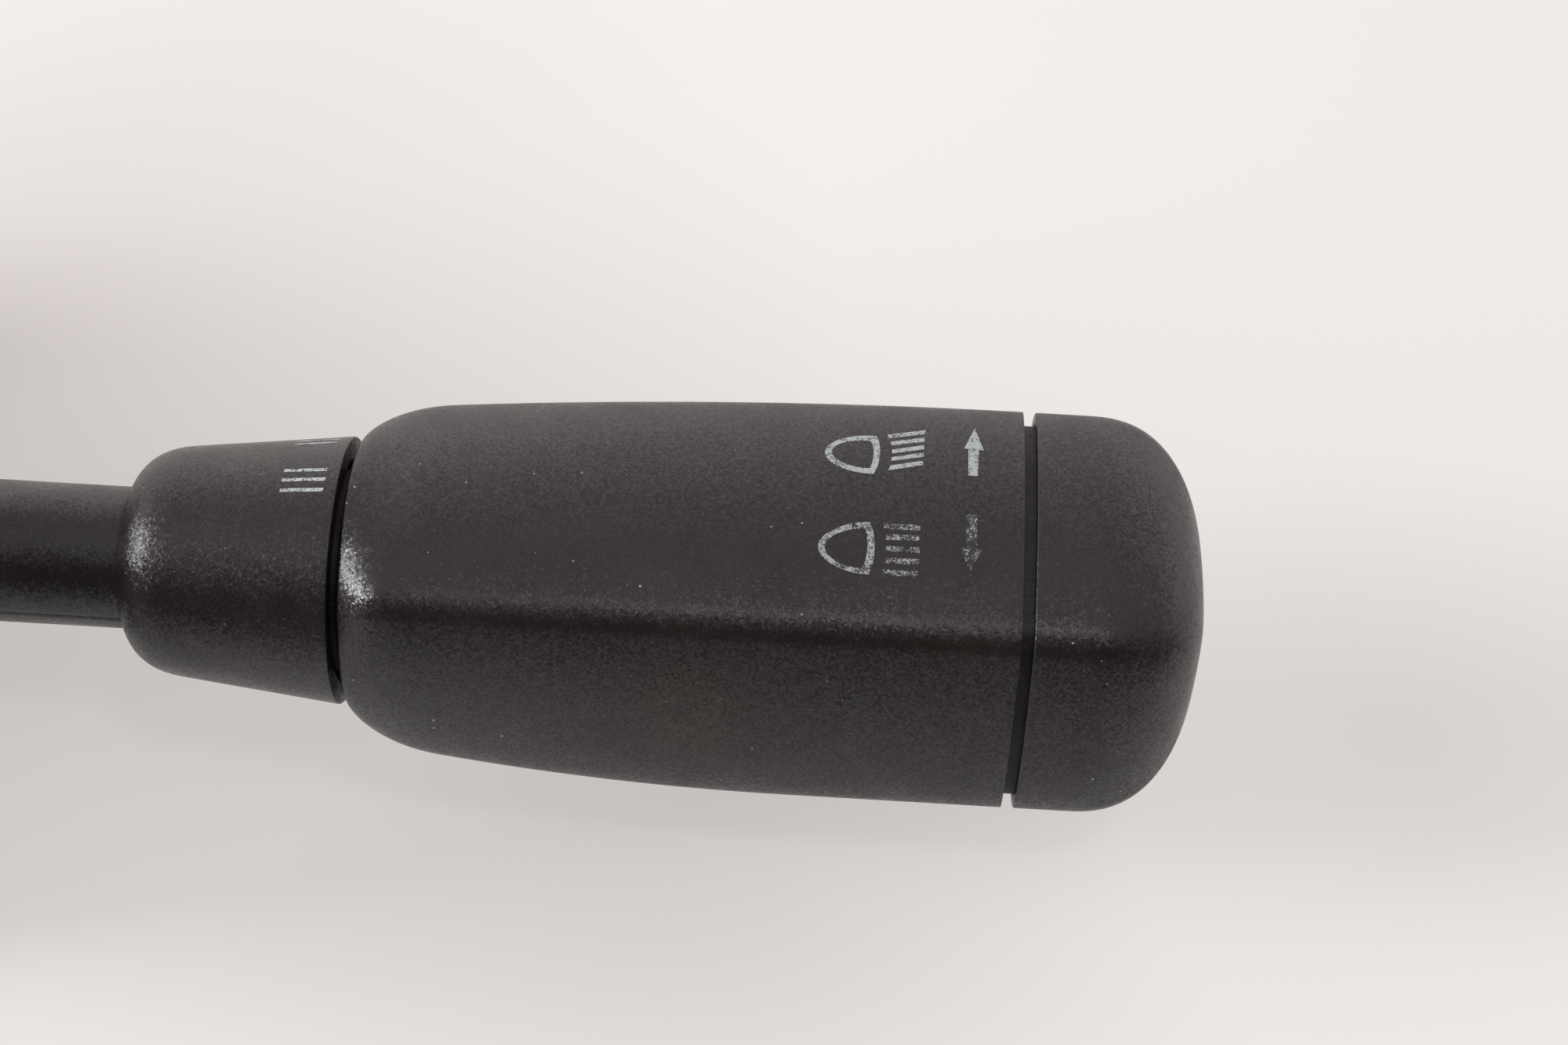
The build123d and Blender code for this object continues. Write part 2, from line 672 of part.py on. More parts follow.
def wiper_switch_plate():
    x = (ring_end - plate_depth, ring_end + ring_gap)
    plate = rod(ring_radius(x[0]) - ring_wall - 0.3, x) - rod(stem_radius, (x[0] - 1, x[1] + 1))
    hole_z = lever_height + rotor_plunger_radius()
    hole = rod(wiper_plunger_radius + running_gap, (x[0] - 1, x[0] + 3.4), 0, hole_z)
    return plate - about_lever(hole, 180)


def wiper_detent_plunger():
    x = (ring_start + ring_neck + rotor_thickness + detent_gap, ring_end - plate_depth + 2.4)
    body = rod(wiper_plunger_radius, x, 0, lever_height + rotor_plunger_radius())
    body = fillet(body.edges().sort_by(Axis.X)[0], wiper_plunger_radius * 0.9)
    return about_lever(body, 180)


def wiper_contacts():
    """Fixed contact studs on the switch plate, on the far side from the plunger."""
    x = (ring_end - plate_depth - 0.8, ring_end - plate_depth)
    studs = []
    for index in range(ring_positions):
        stud = rod(0.8, x, 0, lever_height + rotor_plunger_radius())
        studs.append(about_lever(stud, -60 + index * ring_step))
    return studs


# ---- grip: a lofted shell with a crease under its printed panel ----
def lever_plane(x):
    """Plane across the lever: its first axis points out of the panel, its second up the grip."""
    lean = math.radians(panel_lean)
    return Plane(origin=(x, 0, lever_height), x_dir=(0, -math.cos(lean), math.sin(lean)), z_dir=(-1, 0, 0))


def facing(slope):
    """Direction that a surface looks in, slope degrees above the panel's direction."""
    return Vector(math.cos(math.radians(slope)), math.sin(math.radians(slope)))


def running_down(slope):
    """Direction down along that surface."""
    return Vector(math.sin(math.radians(slope)), -math.cos(math.radians(slope)))


def bend(point, slope, slope_after, radius):
    """Control points of an arc that turns the outline from one slope to another."""
    side = 1 if slope_after < slope else -1
    centre = point - facing(slope) * (side * radius)
    after = centre + facing(slope_after) * (side * radius)
    reach = 4 / 3 * math.tan(math.radians(abs(slope_after - slope)) / 4) * radius
    return [point, point + running_down(slope) * reach, after - running_down(slope_after) * reach, after]


def full_outline(top, bottom, ridge):
    """Control points of panel, crease, crease's foot, belly and the two halves of the back."""
    high = Vector(grip_side, top)
    low = Vector(grip_side, -bottom)
    far = Vector(-grip_back_depth, 0)
    edge = Vector(ridge - 0.1, crease_height)
    crease = bend(edge, panel_slope, crease_slope, crease_radius)
    foot = bend(crease[3], crease_slope, belly_slope, crease_foot_radius)
    panel_end = edge - running_down(panel_slope) * panel_handle[1]
    panel = [high, high + Vector(panel_handle[0], 0), panel_end, edge]
    belly_begin = foot[3] + running_down(belly_slope) * belly_handle[0]
    belly = [foot[3], belly_begin, low + Vector(belly_handle[1], 0), low]
    run = (far.X - grip_side) * quarter_handle
    back_low = [low, low + Vector(run, 0), far - Vector(0, bottom * quarter_handle), far]
    back_high = [far, far + Vector(0, top * quarter_handle), high + Vector(run, 0), high]
    return [panel, crease, foot, belly, back_low, back_high]


def round_outline(full):
    """The same control points on the grip's round end, the crease's corners at their own heights."""
    angles = [90.0]
    for piece in full[1:4]:
        angles.append(math.degrees(math.asin(piece[0].Y / grip_start_radius)))
    angles += [-90.0, -180.0, -270.0]
    pieces = []
    for first, second in zip(angles, angles[1:]):
        reach = 4 / 3 * math.tan(math.radians(first - second) / 4) * grip_start_radius
        start = facing(first) * grip_start_radius
        end = facing(second) * grip_start_radius
        pieces.append([start, start + running_down(first) * reach, end - running_down(second) * reach, end])
    return pieces


def swell(ends, share):
    """Value that grows quickly at first and levels off at its end."""
    return ends[0] + (ends[1] - ends[0]) * (1 - (1 - min(1.0, share)) ** 2)


def grip_section(x, inset, scale=1.0):
    """Closed outline of the grip at x, drawn in by inset."""
    distance = min(max(x - grip_start, 0.0), grip_length)
    share = distance / grip_length
    top = swell(grip_top, share)
    bottom = swell(grip_bottom, distance / grip_bottom_swell)
    ridge = grip_ridge[0] + (grip_ridge[1] - grip_ridge[0]) * share
    wide = (1 - (1 - min(1.0, distance / grip_shoulder)) ** 2.5) ** 0.55
    deep = 1 - (1 - min(1.0, distance / ridge_shoulder)) ** 2.2
    middle = (top + bottom + ridge + grip_back_depth) / 4
    reach = grip_start_radius + (middle - grip_start_radius) * wide
    shrink = scale * (1 - inset / reach)
    full = full_outline(top, bottom, ridge)
    edges = []
    for first, second in zip(round_outline(full), full):
        points = []
        for a, b in zip(first, second):
            out = deep if b.X > grip_side + 0.01 else wide
            points.append((shrink * (a.X + (b.X - a.X) * out), shrink * (a.Y + (b.Y - a.Y) * wide)))
        edges.append(Bezier(*points))
    return lever_plane(x) * make_face(edges)


def grip_solid(inset, start=grip_start, end=grip_end):
    """Loft of the grip's outline from start to end, drawn in by inset."""
    sections = []
    for index in range(grip_stations + 1):
        share = (index / grip_stations) ** 2.5
        sections.append(grip_section(grip_start + share * grip_length, inset))
    body = loft(sections, ruled=True)
    return body & rod(grip_clip_radius, (start, end))


def grip_shell():
    body = grip_solid(0.0)
    body -= grip_solid(grip_wall, start=grip_start + grip_wall)
    body -= grip_solid(lip_wall, start=grip_end - lip_length)
    return body - rod(stem_radius, (grip_start - 1, grip_start + 4))


def grip_core():
    """Carrier inside the grip: tube on the stem, cross of webs and a front plate for the washer switch."""
    inner = grip_solid(grip_wall + running_gap, start=grip_start + grip_wall)
    end = grip_end - lip_length
    webs = box((grip_start + grip_wall, end), (-0.9, 0.9),
               (lever_height - grip_clip_radius, lever_height + grip_clip_radius))
    webs = about_lever(webs, panel_lean) + about_lever(webs, panel_lean + 90)
    plates = rod(grip_clip_radius, (end - 2, end)) + rod(grip_clip_radius, (stem_end, stem_end + 2))
    body = (webs + plates) & inner
    body += rod(stem_radius + 2, (grip_start + grip_wall, end - 8))
    body -= rod(stem_radius, (grip_start, stem_end))
    for leaf in washer_contacts():
        body -= leaf
    return body - rod(washer_rod_radius + running_gap, (stem_end, end + 1))


# ---- washer cap, skirt, rod, spring and contact ----
def cap_solid(inset):
    """The grip's end outline carried on and rounded over to the tip."""
    length = cap_length - inset
    sections = [grip_section(cap_start, inset)]
    for index in range(cap_stations + 1):
        angle = math.radians(90 * index / (cap_stations + 0.35))
        reach = math.sin(angle) ** (2 / cap_round_power)
        scale = math.cos(angle) ** (2 / cap_round_power)
        x = cap_start + cap_round_start + (length - cap_round_start) * reach
        sections.append(grip_section(x, inset, scale))
    return loft(sections, ruled=True)


def skirt_run(start, end, inset):
    """Straight run of the outline at the groove."""
    section = grip_section(grip_end, inset)
    run = extrude(section, end - start, dir=(1, 0, 0))
    return Pos(start - grip_end, 0, 0) * run


def washer_cap():
    body = cap_solid(0.0) - cap_solid(cap_wall)
    return body - skirt_run(cap_start, cap_start + skirt_seat, skirt_inset)


def cap_skirt():
    start = grip_end - skirt_reach
    end = cap_start + skirt_seat
    outer = skirt_run(start, end, skirt_inset)
    inner = skirt_run(start - 1, end - 1.6, skirt_inset + skirt_wall)
    return outer - inner


def washer_rod():
    core_end = grip_end - lip_length
    stop = cap_start + skirt_seat - 1.6
    body = rod(washer_rod_radius, (core_end - 9, stop))
    return body + rod(washer_rod_radius + 2.4, (stop - 1.2, stop))


def washer_spring():
    start = grip_end - lip_length + spring_wire + 0.1
    length = cap_start + skirt_seat - 2.9 - spring_wire - start
    return Pos(start, 0, lever_height) * Rot(0, 90, 0) * coil(length, washer_rod_radius + 1.1)


def washer_contacts():
    x = grip_end - lip_length
    z = (lever_height - 1.5, lever_height + 1.5)
    leaves = []
    for side in (-1, 1):
        leaves.append(box((x - 11.2, x - 10.0), sorted((side * 1.0, side * 5.4)), z))
    return leaves


PARTS = {
    "column_bracket": column_bracket,
    "bracket_screws": bracket_screws,
    "switch_housing": housing,
    "housing_cover": housing_cover,
    "cover_screws": cover_screws,
    "turn_detent_track": turn_detent_track,
    "contact_board": contact_board,
    "board_rivets": board_rivets,
    "connector_shroud": connector_shroud,
    "terminal_blades": terminal_blades,
    "turn_carrier": turn_carrier,
    "lever_pivot_pin": lever_pivot_pin,
    "pivot_clips": pivot_clips,
    "turn_detent_plunger": turn_detent_plunger,
    "turn_detent_spring": turn_detent_spring,
    "cancel_pawl": cancel_pawl,
    "pawl_spring": pawl_spring,
    "turn_slider": turn_slider,
    "turn_slider_bridges": turn_slider_bridges,
    "dip_board": dip_board,
    "dip_slider": dip_slider,
    "lever_yoke": lever_yoke,
    "lever_stem": lever_stem,
    "tilt_detent_plunger": tilt_detent_plunger,
    "tilt_detent_spring": tilt_detent_spring,
    "wiper_ring": wiper_ring,
    "wiper_rotor": wiper_rotor,
    "wiper_switch_plate": wiper_switch_plate,
    "wiper_contacts": wiper_contacts,
    "wiper_detent_plunger": wiper_detent_plunger,
    "grip_shell": grip_shell,
    "grip_core": grip_core,
    "washer_cap": washer_cap,
    "cap_skirt": cap_skirt,
    "washer_rod": washer_rod,
    "washer_spring": washer_spring,
    "washer_contacts": washer_contacts,
}

os.makedirs("parts", exist_ok=True)
for node, make in PARTS.items():
    made = make()
    if isinstance(made, list):
        made = Compound(children=made)
    export_step(made, f"parts/{node}.step")
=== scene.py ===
"""Finish of the combination stalk switch.

Grained black lever with worn prints, switch housing, column bracket and the mechanism's finishes.
"""
import json
import math

import bpy
from mathutils import Matrix, Vector
from mathutils.bvhtree import BVHTree
from mathutils.geometry import interpolate_bezier


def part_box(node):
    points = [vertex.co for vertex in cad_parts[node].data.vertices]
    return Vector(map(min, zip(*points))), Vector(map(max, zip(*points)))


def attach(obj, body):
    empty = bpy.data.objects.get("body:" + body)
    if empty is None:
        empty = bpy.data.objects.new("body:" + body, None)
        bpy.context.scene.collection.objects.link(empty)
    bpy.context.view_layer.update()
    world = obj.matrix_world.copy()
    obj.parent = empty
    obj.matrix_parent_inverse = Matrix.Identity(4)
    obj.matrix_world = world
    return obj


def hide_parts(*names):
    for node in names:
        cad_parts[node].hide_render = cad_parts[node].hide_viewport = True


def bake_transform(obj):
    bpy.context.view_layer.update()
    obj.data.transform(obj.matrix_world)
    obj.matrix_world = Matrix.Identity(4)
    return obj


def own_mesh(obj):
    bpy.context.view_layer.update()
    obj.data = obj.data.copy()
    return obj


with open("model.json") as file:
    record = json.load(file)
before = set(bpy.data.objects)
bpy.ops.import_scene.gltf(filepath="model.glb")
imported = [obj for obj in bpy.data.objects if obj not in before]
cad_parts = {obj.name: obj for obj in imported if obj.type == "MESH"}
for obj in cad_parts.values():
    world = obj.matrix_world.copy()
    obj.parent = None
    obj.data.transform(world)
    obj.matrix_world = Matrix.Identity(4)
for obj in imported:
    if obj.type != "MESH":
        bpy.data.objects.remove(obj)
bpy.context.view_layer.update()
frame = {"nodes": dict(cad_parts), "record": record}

MM = 0.001
X_AXIS = Vector((1, 0, 0))

# ---- what the frame says ----
SLOTS = {part["node"]: part["material_slot"] for part in frame["record"]["subparts"]}
BEHAVIOUR = frame["record"]["behaviour"]
BODY_OF = {node: body for body, nodes in BEHAVIOUR["bodies"].items() for node in nodes}
RING_LOW, RING_HIGH = (Vector(c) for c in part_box("wiper_ring"))
GRIP_LOW, GRIP_HIGH = (Vector(c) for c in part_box("grip_shell"))
CAP_LOW, CAP_HIGH = (Vector(c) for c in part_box("washer_cap"))
STEM_LOW, STEM_HIGH = (Vector(c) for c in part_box("lever_stem"))
LEVER_HEIGHT = (RING_LOW.z + RING_HIGH.z) / 2
RIM_RADIUS = (RING_HIGH.z - RING_LOW.z) / 2
STEM_RADIUS = (STEM_HIGH.z - STEM_LOW.z) / 2

# ---- camera ----
IMAGE_WIDTH = 2000
IMAGE_HEIGHT = 1333
FOCAL_PIXELS = 3600
SENSOR = 36.0
CLIP_START, CLIP_END = 0.01, 20
PANEL_LEAN = math.radians(53.0)     # direction that the grip's printed panel faces
PANEL = Vector((0, -math.cos(PANEL_LEAN), math.sin(PANEL_LEAN)))
GRIP_UP = Vector((0, math.sin(PANEL_LEAN), math.cos(PANEL_LEAN)))
CAMERA_SIDESTEP = math.radians(0.55)
CAMERA_ROLL = math.radians(3.30)
CAMERA_DISTANCE = 225 * MM
AIM_ALONG = 34.4 * MM               # from the ring's rim to the middle of the view
AIM_UP = 5.8 * MM


def camera_frame():
    """Camera position and its right, up and backward directions."""
    back = (PANEL * math.cos(CAMERA_SIDESTEP) + X_AXIS * math.sin(CAMERA_SIDESTEP)).normalized()
    along = (X_AXIS - back * X_AXIS.dot(back)).normalized()
    rise = back.cross(along)
    right = along * math.cos(CAMERA_ROLL) + rise * math.sin(CAMERA_ROLL)
    up = rise * math.cos(CAMERA_ROLL) - along * math.sin(CAMERA_ROLL)
    axis_point = Vector((RING_HIGH.x, 0, LEVER_HEIGHT))
    aim = axis_point + X_AXIS * AIM_ALONG + GRIP_UP * AIM_UP
    return aim + back * CAMERA_DISTANCE, right, up, back


CAMERA_PLACE, CAMERA_RIGHT, CAMERA_UP, CAMERA_BACK = camera_frame()


def make_camera():
    bpy.ops.object.camera_add(location=CAMERA_PLACE)
    camera = bpy.context.object
    turn = Matrix((CAMERA_RIGHT, CAMERA_UP, CAMERA_BACK)).transposed()
    camera.rotation_euler = turn.to_euler()
    camera.data.sensor_width = SENSOR
    camera.data.lens = FOCAL_PIXELS / IMAGE_WIDTH * SENSOR
    camera.data.clip_start = CLIP_START
    camera.data.clip_end = CLIP_END
    bpy.context.scene.camera = camera


# ---- small helpers for nodes ----
def put(tree, socket, value):
    """Links the value to the socket where it comes from another node, and sets it otherwise."""
    if isinstance(value, bpy.types.NodeSocket):
        tree.links.new(value, socket)
    else:
        socket.default_value = value


def add(tree, kind, **inputs):
    """New shader node with its values and links."""
    node = tree.nodes.new("ShaderNode" + kind)
    for key, value in inputs.items():
        put(tree, node.inputs[key], value)
    return node


def calc(tree, operation, first, second=0.0):
    node = tree.nodes.new("ShaderNodeMath")
    node.operation = operation
    put(tree, node.inputs[0], first)
    put(tree, node.inputs[1], second)
    return node.outputs[0]


def vector_calc(tree, operation, *values):
    node = tree.nodes.new("ShaderNodeVectorMath")
    node.operation = operation
    for socket, value in zip(node.inputs, values):
        put(tree, socket, value)
    return node.outputs


def weighted(tree, first, second, share):
    """The first value times its share plus the second times the rest."""
    return calc(tree, "ADD", calc(tree, "MULTIPLY", first, share),
                calc(tree, "MULTIPLY", second, 1 - share))


def dot(tree, first, second):
    return vector_calc(tree, "DOT_PRODUCT", first, second)["Value"]


def remap(tree, value, low, high, to_low=0.0, to_high=1.0):
    """The value's range low to high laid on to_low to to_high, and held there outside it."""
    node = tree.nodes.new("ShaderNodeMapRange")
    put(tree, node.inputs["Value"], value)
    node.inputs["From Min"].default_value = low
    node.inputs["From Max"].default_value = high
    node.inputs["To Min"].default_value = to_low
    node.inputs["To Max"].default_value = to_high
    return node.outputs["Result"]


def blend_colours(tree, share, first, second):
    node = tree.nodes.new("ShaderNodeMix")
    node.data_type = "RGBA"
    put(tree, node.inputs["Factor"], share)
    put(tree, node.inputs[6], first)
    put(tree, node.inputs[7], second)
    return node.outputs[2]


def noise(tree, place, scale, detail=2.0, roughness=0.5):
    node = add(tree, "TexNoise", Vector=place, Scale=scale, Detail=detail, Roughness=roughness)
    return node.outputs["Fac"]


def stretched(tree, place, factors):
    """Place drawn out along the axes whose factor is under 1."""
    return add(tree, "Mapping", Vector=place, Scale=factors).outputs[0]


def relief(tree, height, strength, depth):
    """Normal of a surface with a fine relief."""
    bump = add(tree, "Bump", Height=height, Strength=strength, Distance=depth)
    return bump.outputs["Normal"]


def shaded(colour, *factors):
    """The colour times one factor or three, as a node's colour."""
    if len(factors) == 1:
        factors *= 3
    return tuple(min(1.0, c * factor) for c, factor in zip(colour, factors)) + (1,)


def new_material(name):
    material = bpy.data.materials.new(name)
    material.use_nodes = True
    tree = material.node_tree
    shader = tree.nodes["Principled BSDF"]
    place = add(tree, "TexCoord").outputs["Object"]
    return material, tree, shader, place


def dress(tree, shader, colour, roughness, normal, metallic=0.0):
    put(tree, shader.inputs["Base Color"], colour)
    put(tree, shader.inputs["Roughness"], roughness)
    put(tree, shader.inputs["Normal"], normal)
    shader.inputs["Metallic"].default_value = metallic


# ---- finishes: noise scales are per metre ----
BLACK = (0.0104, 0.0073, 0.0069)
BLACK_ROUGHNESS = 0.29, 0.41      # where handled and where not
FINE_GRAIN, COARSE_GRAIN = 5200.0, 2100.0
FINE_SHARE = 0.85
GRAIN_DEPTH = 0.04 * MM
GRAIN_STRENGTH = 0.9
SPARK_SCALE = 5800.0
SPARK_TILT = 0.24            # how far the tiny facets of the eroded grain lean out of the surface
DUST_SCALE = 560.0
DUST_PATCHES = 0.37 * DUST_SCALE
DUST_SIZE = 0.05             # of the distance between two specks
DUST_COVER = 0.6
DUST_COLOUR = (0.42, 0.41, 0.40, 1)
RESIDUE_COLOUR = (0.036, 0.025, 0.018, 1)
RESIDUE_COVER = 0.8
RESIDUE_PAST_RIM = 28.2 * MM      # from the ring's rim to the middle of the residue
RESIDUE_DROP = 9.6 * MM           # of that middle, below the lever's axis
RESIDUE_HALF_LENGTH, RESIDUE_HALF_HEIGHT = 5.0 * MM, 4.4 * MM
RESIDUE_CORE = 0.35               # share of its half sizes in which it isn't thinned out


def dust(tree, place):
    """Mask of small pale specks."""
    cells = add(tree, "TexVoronoi", Vector=place, Scale=DUST_SCALE)
    patches = noise(tree, place, DUST_PATCHES)
    reach = remap(tree, patches, 0.4, 0.75, DUST_SIZE * 0.35, DUST_SIZE * 1.5)
    return calc(tree, "LESS_THAN", cells.outputs["Distance"], reach)


def residue(tree, place):
    """Mask of the thin brownish residue on the grip's lower face."""
    x = add(tree, "SeparateXYZ", Vector=place).outputs["X"]
    past = calc(tree, "SUBTRACT", x, RING_HIGH.x + RESIDUE_PAST_RIM)
    along = calc(tree, "MULTIPLY", past, 1 / RESIDUE_HALF_LENGTH)
    middle = LEVER_HEIGHT * GRIP_UP.z - RESIDUE_DROP
    rise = calc(tree, "SUBTRACT", dot(tree, place, GRIP_UP), middle)
    across = calc(tree, "MULTIPLY", rise, 1 / RESIDUE_HALF_HEIGHT)
    square = calc(tree, "ADD", calc(tree, "MULTIPLY", along, along),
                  calc(tree, "MULTIPLY", across, across))
    inside = remap(tree, calc(tree, "SQRT", square), 1.0, RESIDUE_CORE)
    smears = remap(tree, noise(tree, place, 900.0, 4.0, 0.7), 0.45, 0.65, 0, RESIDUE_COVER)
    return calc(tree, "MULTIPLY", inside, smears)


def grain_normal(tree, place, height):
    """Normal of the spark-eroded grain: a fine relief with a facet of its own on every grain."""
    facets = add(tree, "TexVoronoi", Vector=place, Scale=SPARK_SCALE).outputs["Color"]
    spread, middle = (SPARK_TILT,) * 3, (-SPARK_TILT / 2,) * 3
    tilt = vector_calc(tree, "MULTIPLY_ADD", facets, spread, middle)["Vector"]
    bumped = relief(tree, height, GRAIN_STRENGTH, GRAIN_DEPTH)
    leaning = vector_calc(tree, "ADD", bumped, tilt)["Vector"]
    return vector_calc(tree, "NORMALIZE", leaning)["Vector"]


def grained_black(name):
    """Moulded black plastic with spark-eroded grain, dust and faint handling marks."""
    material, tree, shader, place = new_material(name)
    fine = noise(tree, place, FINE_GRAIN, 2.0, 0.6)
    coarse = noise(tree, place, COARSE_GRAIN, 1.0)
    height = weighted(tree, fine, coarse, FINE_SHARE)
    handled = remap(tree, noise(tree, place, 90.0, 3.0), 0.35, 0.7)
    colour = blend_colours(tree, handled, shaded(BLACK, 0.86, 0.86, 0.88),
                           shaded(BLACK, 1.25, 1.2, 1.12))
    peaks = calc(tree, "MULTIPLY", remap(tree, height, 0.52, 0.68), 0.5)
    colour = blend_colours(tree, peaks, colour, shaded(BLACK, 2.4, 2.3, 2.2))
    specks = calc(tree, "MULTIPLY", dust(tree, place), DUST_COVER)
    colour = blend_colours(tree, specks, colour, DUST_COLOUR)
    colour = blend_colours(tree, residue(tree, place), colour, RESIDUE_COLOUR)
    wear = noise(tree, place, 260.0, 4.0, 0.65)
    roughness = remap(tree, wear, 0.3, 0.7, *BLACK_ROUGHNESS)
    dress(tree, shader, colour, roughness, grain_normal(tree, place, height))
    return material


MOTTLE = 0.08                # how much paler and darker plain plastic gets
PLASTIC_DEPTH = 0.02 * MM


def flat_plastic(name, shade, rough, grain_scale=2600.0):
    """Plain moulded plastic: fine matt grain, slight mottling and flow marks."""
    material, tree, shader, place = new_material(name)
    fine = noise(tree, place, grain_scale, 3.0)
    mottling = remap(tree, noise(tree, place, 120.0, 4.0, 0.6), 0.3, 0.7)
    colour = blend_colours(tree, mottling, shaded(shade, 1 - MOTTLE), shaded(shade, 1 + MOTTLE))
    roughness = remap(tree, fine, 0.3, 0.7, rough - 0.05, rough + 0.05)
    dress(tree, shader, colour, roughness, relief(tree, fine, 0.4, PLASTIC_DEPTH))
    return material


SLEEVE_BLACK = (0.0075, 0.0065, 0.0062, 1)
SLEEVE_RUBBED = (0.06, 0.052, 0.046, 1)
SLEEVE_ROUGHNESS = 0.5, 0.7


def rubbed_sleeve(name):
    """Brownish black sleeve, rubbed in lines along the lever where it slides."""
    material, tree, shader, place = new_material(name)
    lines = noise(tree, stretched(tree, place, (0.12, 1, 1)), 2600.0, 3.0, 0.7)
    smudge = noise(tree, place, 420.0, 3.0)
    rubbed = calc(tree, "MULTIPLY", remap(tree, lines, 0.5, 0.72), remap(tree, smudge, 0.42, 0.62))
    colour = blend_colours(tree, rubbed, SLEEVE_BLACK, SLEEVE_RUBBED)
    roughness = remap(tree, lines, 0.3, 0.7, *SLEEVE_ROUGHNESS)
    dress(tree, shader, colour, roughness, relief(tree, lines, 0.3, PLASTIC_DEPTH))
    return material


CAST_SKIN = 1500.0
CAST_DEPTH = 0.05 * MM
CAST_METALLIC = 0.85         # dulled by its skin of oxide
DRAWN_LINES = 3600.0
DRAWN_DEPTH = 0.01 * MM


def cast_metal(name, shade, rough):
    """Die casting: orange-peel skin, cloudy patches, dull sheen."""
    material, tree, shader, place = new_material(name)
    bumps = noise(tree, place, CAST_SKIN, 3.0, 0.6)
    cloud = noise(tree, place, 140.0, 4.0, 0.6)
    patches = remap(tree, cloud, 0.35, 0.68)
    colour = blend_colours(tree, patches, shaded(shade, 0.78), shaded(shade, 1))
    roughness = remap(tree, cloud, 0.3, 0.7, rough + 0.08, rough - 0.06)
    normal = relief(tree, bumps, 0.5, CAST_DEPTH)
    dress(tree, shader, colour, roughness, normal, CAST_METALLIC)
    return material


def plated_metal(name, shade, rough):
    """Plated or drawn metal with fine drawing lines and stains."""
    material, tree, shader, place = new_material(name)
    lines = noise(tree, stretched(tree, place, (1, 0.15, 1)), DRAWN_LINES, 3.0, 0.6)
    stains = remap(tree, noise(tree, place, 350.0, 4.0, 0.6), 0.35, 0.6)
    colour = blend_colours(tree, stains, shaded(shade, 0.7), shaded(shade, 1))
    roughness = remap(tree, lines, 0.3, 0.7, rough - 0.08, rough + 0.1)
    dress(tree, shader, colour, roughness, relief(tree, lines, 0.2, DRAWN_DEPTH), 1.0)
    return material


PRINT_PAINT = 0.36
RING_PAINT = 0.42
PAINT_COOLNESS = 1.07        # green and blue over red
PRINT_BARE = (0.012, 0.011, 0.011, 1)
PRINT_ROUGHNESS = 0.55
PRINT_FINE, PRINT_PATCHES = 8000.0, 1500.0
PRINT_FINE_SHARE = 0.65
WEAR_LEVEL = 0.56            # of the noise, below which nothing is left of a print
WEAR_KEPT = 0.16             # how far a fresh print lowers that level
WEAR_EDGE = 0.08


def worn_print(name, keep, paint=PRINT_PAINT):
    """Pale pad print worn down to the grain's peaks. keep is how much of it is left."""
    material, tree, shader, place = new_material(name)
    fine = noise(tree, place, PRINT_FINE, 3.0, 0.7)
    patches = noise(tree, place, PRINT_PATCHES, 3.0, 0.6)
    left = weighted(tree, fine, patches, PRINT_FINE_SHARE)
    worn_off = WEAR_LEVEL - keep * WEAR_KEPT
    painted = remap(tree, left, worn_off, worn_off + WEAR_EDGE)
    pale = shaded((paint,) * 3, 1, PAINT_COOLNESS, PAINT_COOLNESS)
    colour = blend_colours(tree, painted, PRINT_BARE, pale)
    dress(tree, shader, colour, PRINT_ROUGHNESS, relief(tree, left, 0.4, GRAIN_DEPTH))
    return material


# ---- modelling helpers ----
WELD = 0.002 * MM            # points closer than this become one


def ease(value):
    """Smooth step from 0 to 1."""
    value = min(1.0, max(0.0, value))
    return value * value * (3 - 2 * value)


def deselect():
    if bpy.context.object and bpy.context.object.mode != "OBJECT":
        bpy.ops.object.mode_set(mode="OBJECT")
    bpy.ops.object.select_all(action="DESELECT")


def weld(distance=WELD):
    """Merges the points of the active mesh, which is in edit mode, that lie on one another."""
    bpy.ops.mesh.select_all(action="SELECT")
    bpy.ops.mesh.remove_doubles(threshold=distance)


def finish_piece(name, body, material, smooth=40):
    """Names the active object, bakes its place into its mesh and hangs it on its body, if any."""
    piece = bpy.context.object
    piece.name = name
    bpy.ops.object.transform_apply(location=True, rotation=True, scale=True)
    piece.data.materials.clear()
    piece.data.materials.append(material)
    bpy.ops.object.shade_smooth_by_angle(angle=math.radians(smooth))
    if body:
        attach(piece, body)
    return piece


def thicken(wall):
    """Gives the active shell a wall inwards."""
    shell = bpy.context.object.modifiers.new("wall", "SOLIDIFY")
    shell.thickness = wall
    shell.offset = -1
    bpy.ops.object.modifier_apply(modifier=shell.name)


def round_sharp_edges(width, segments, degrees):
    """Rounds the edges of the active piece where its faces turn by more than the angle."""
    edge = bpy.context.object.modifiers.new("edge", "BEVEL")
    edge.width = width
    edge.segments = segments
    edge.limit_method = "ANGLE"
    edge.angle_limit = math.radians(degrees)
    bpy.ops.object.modifier_apply(modifier=edge.name)


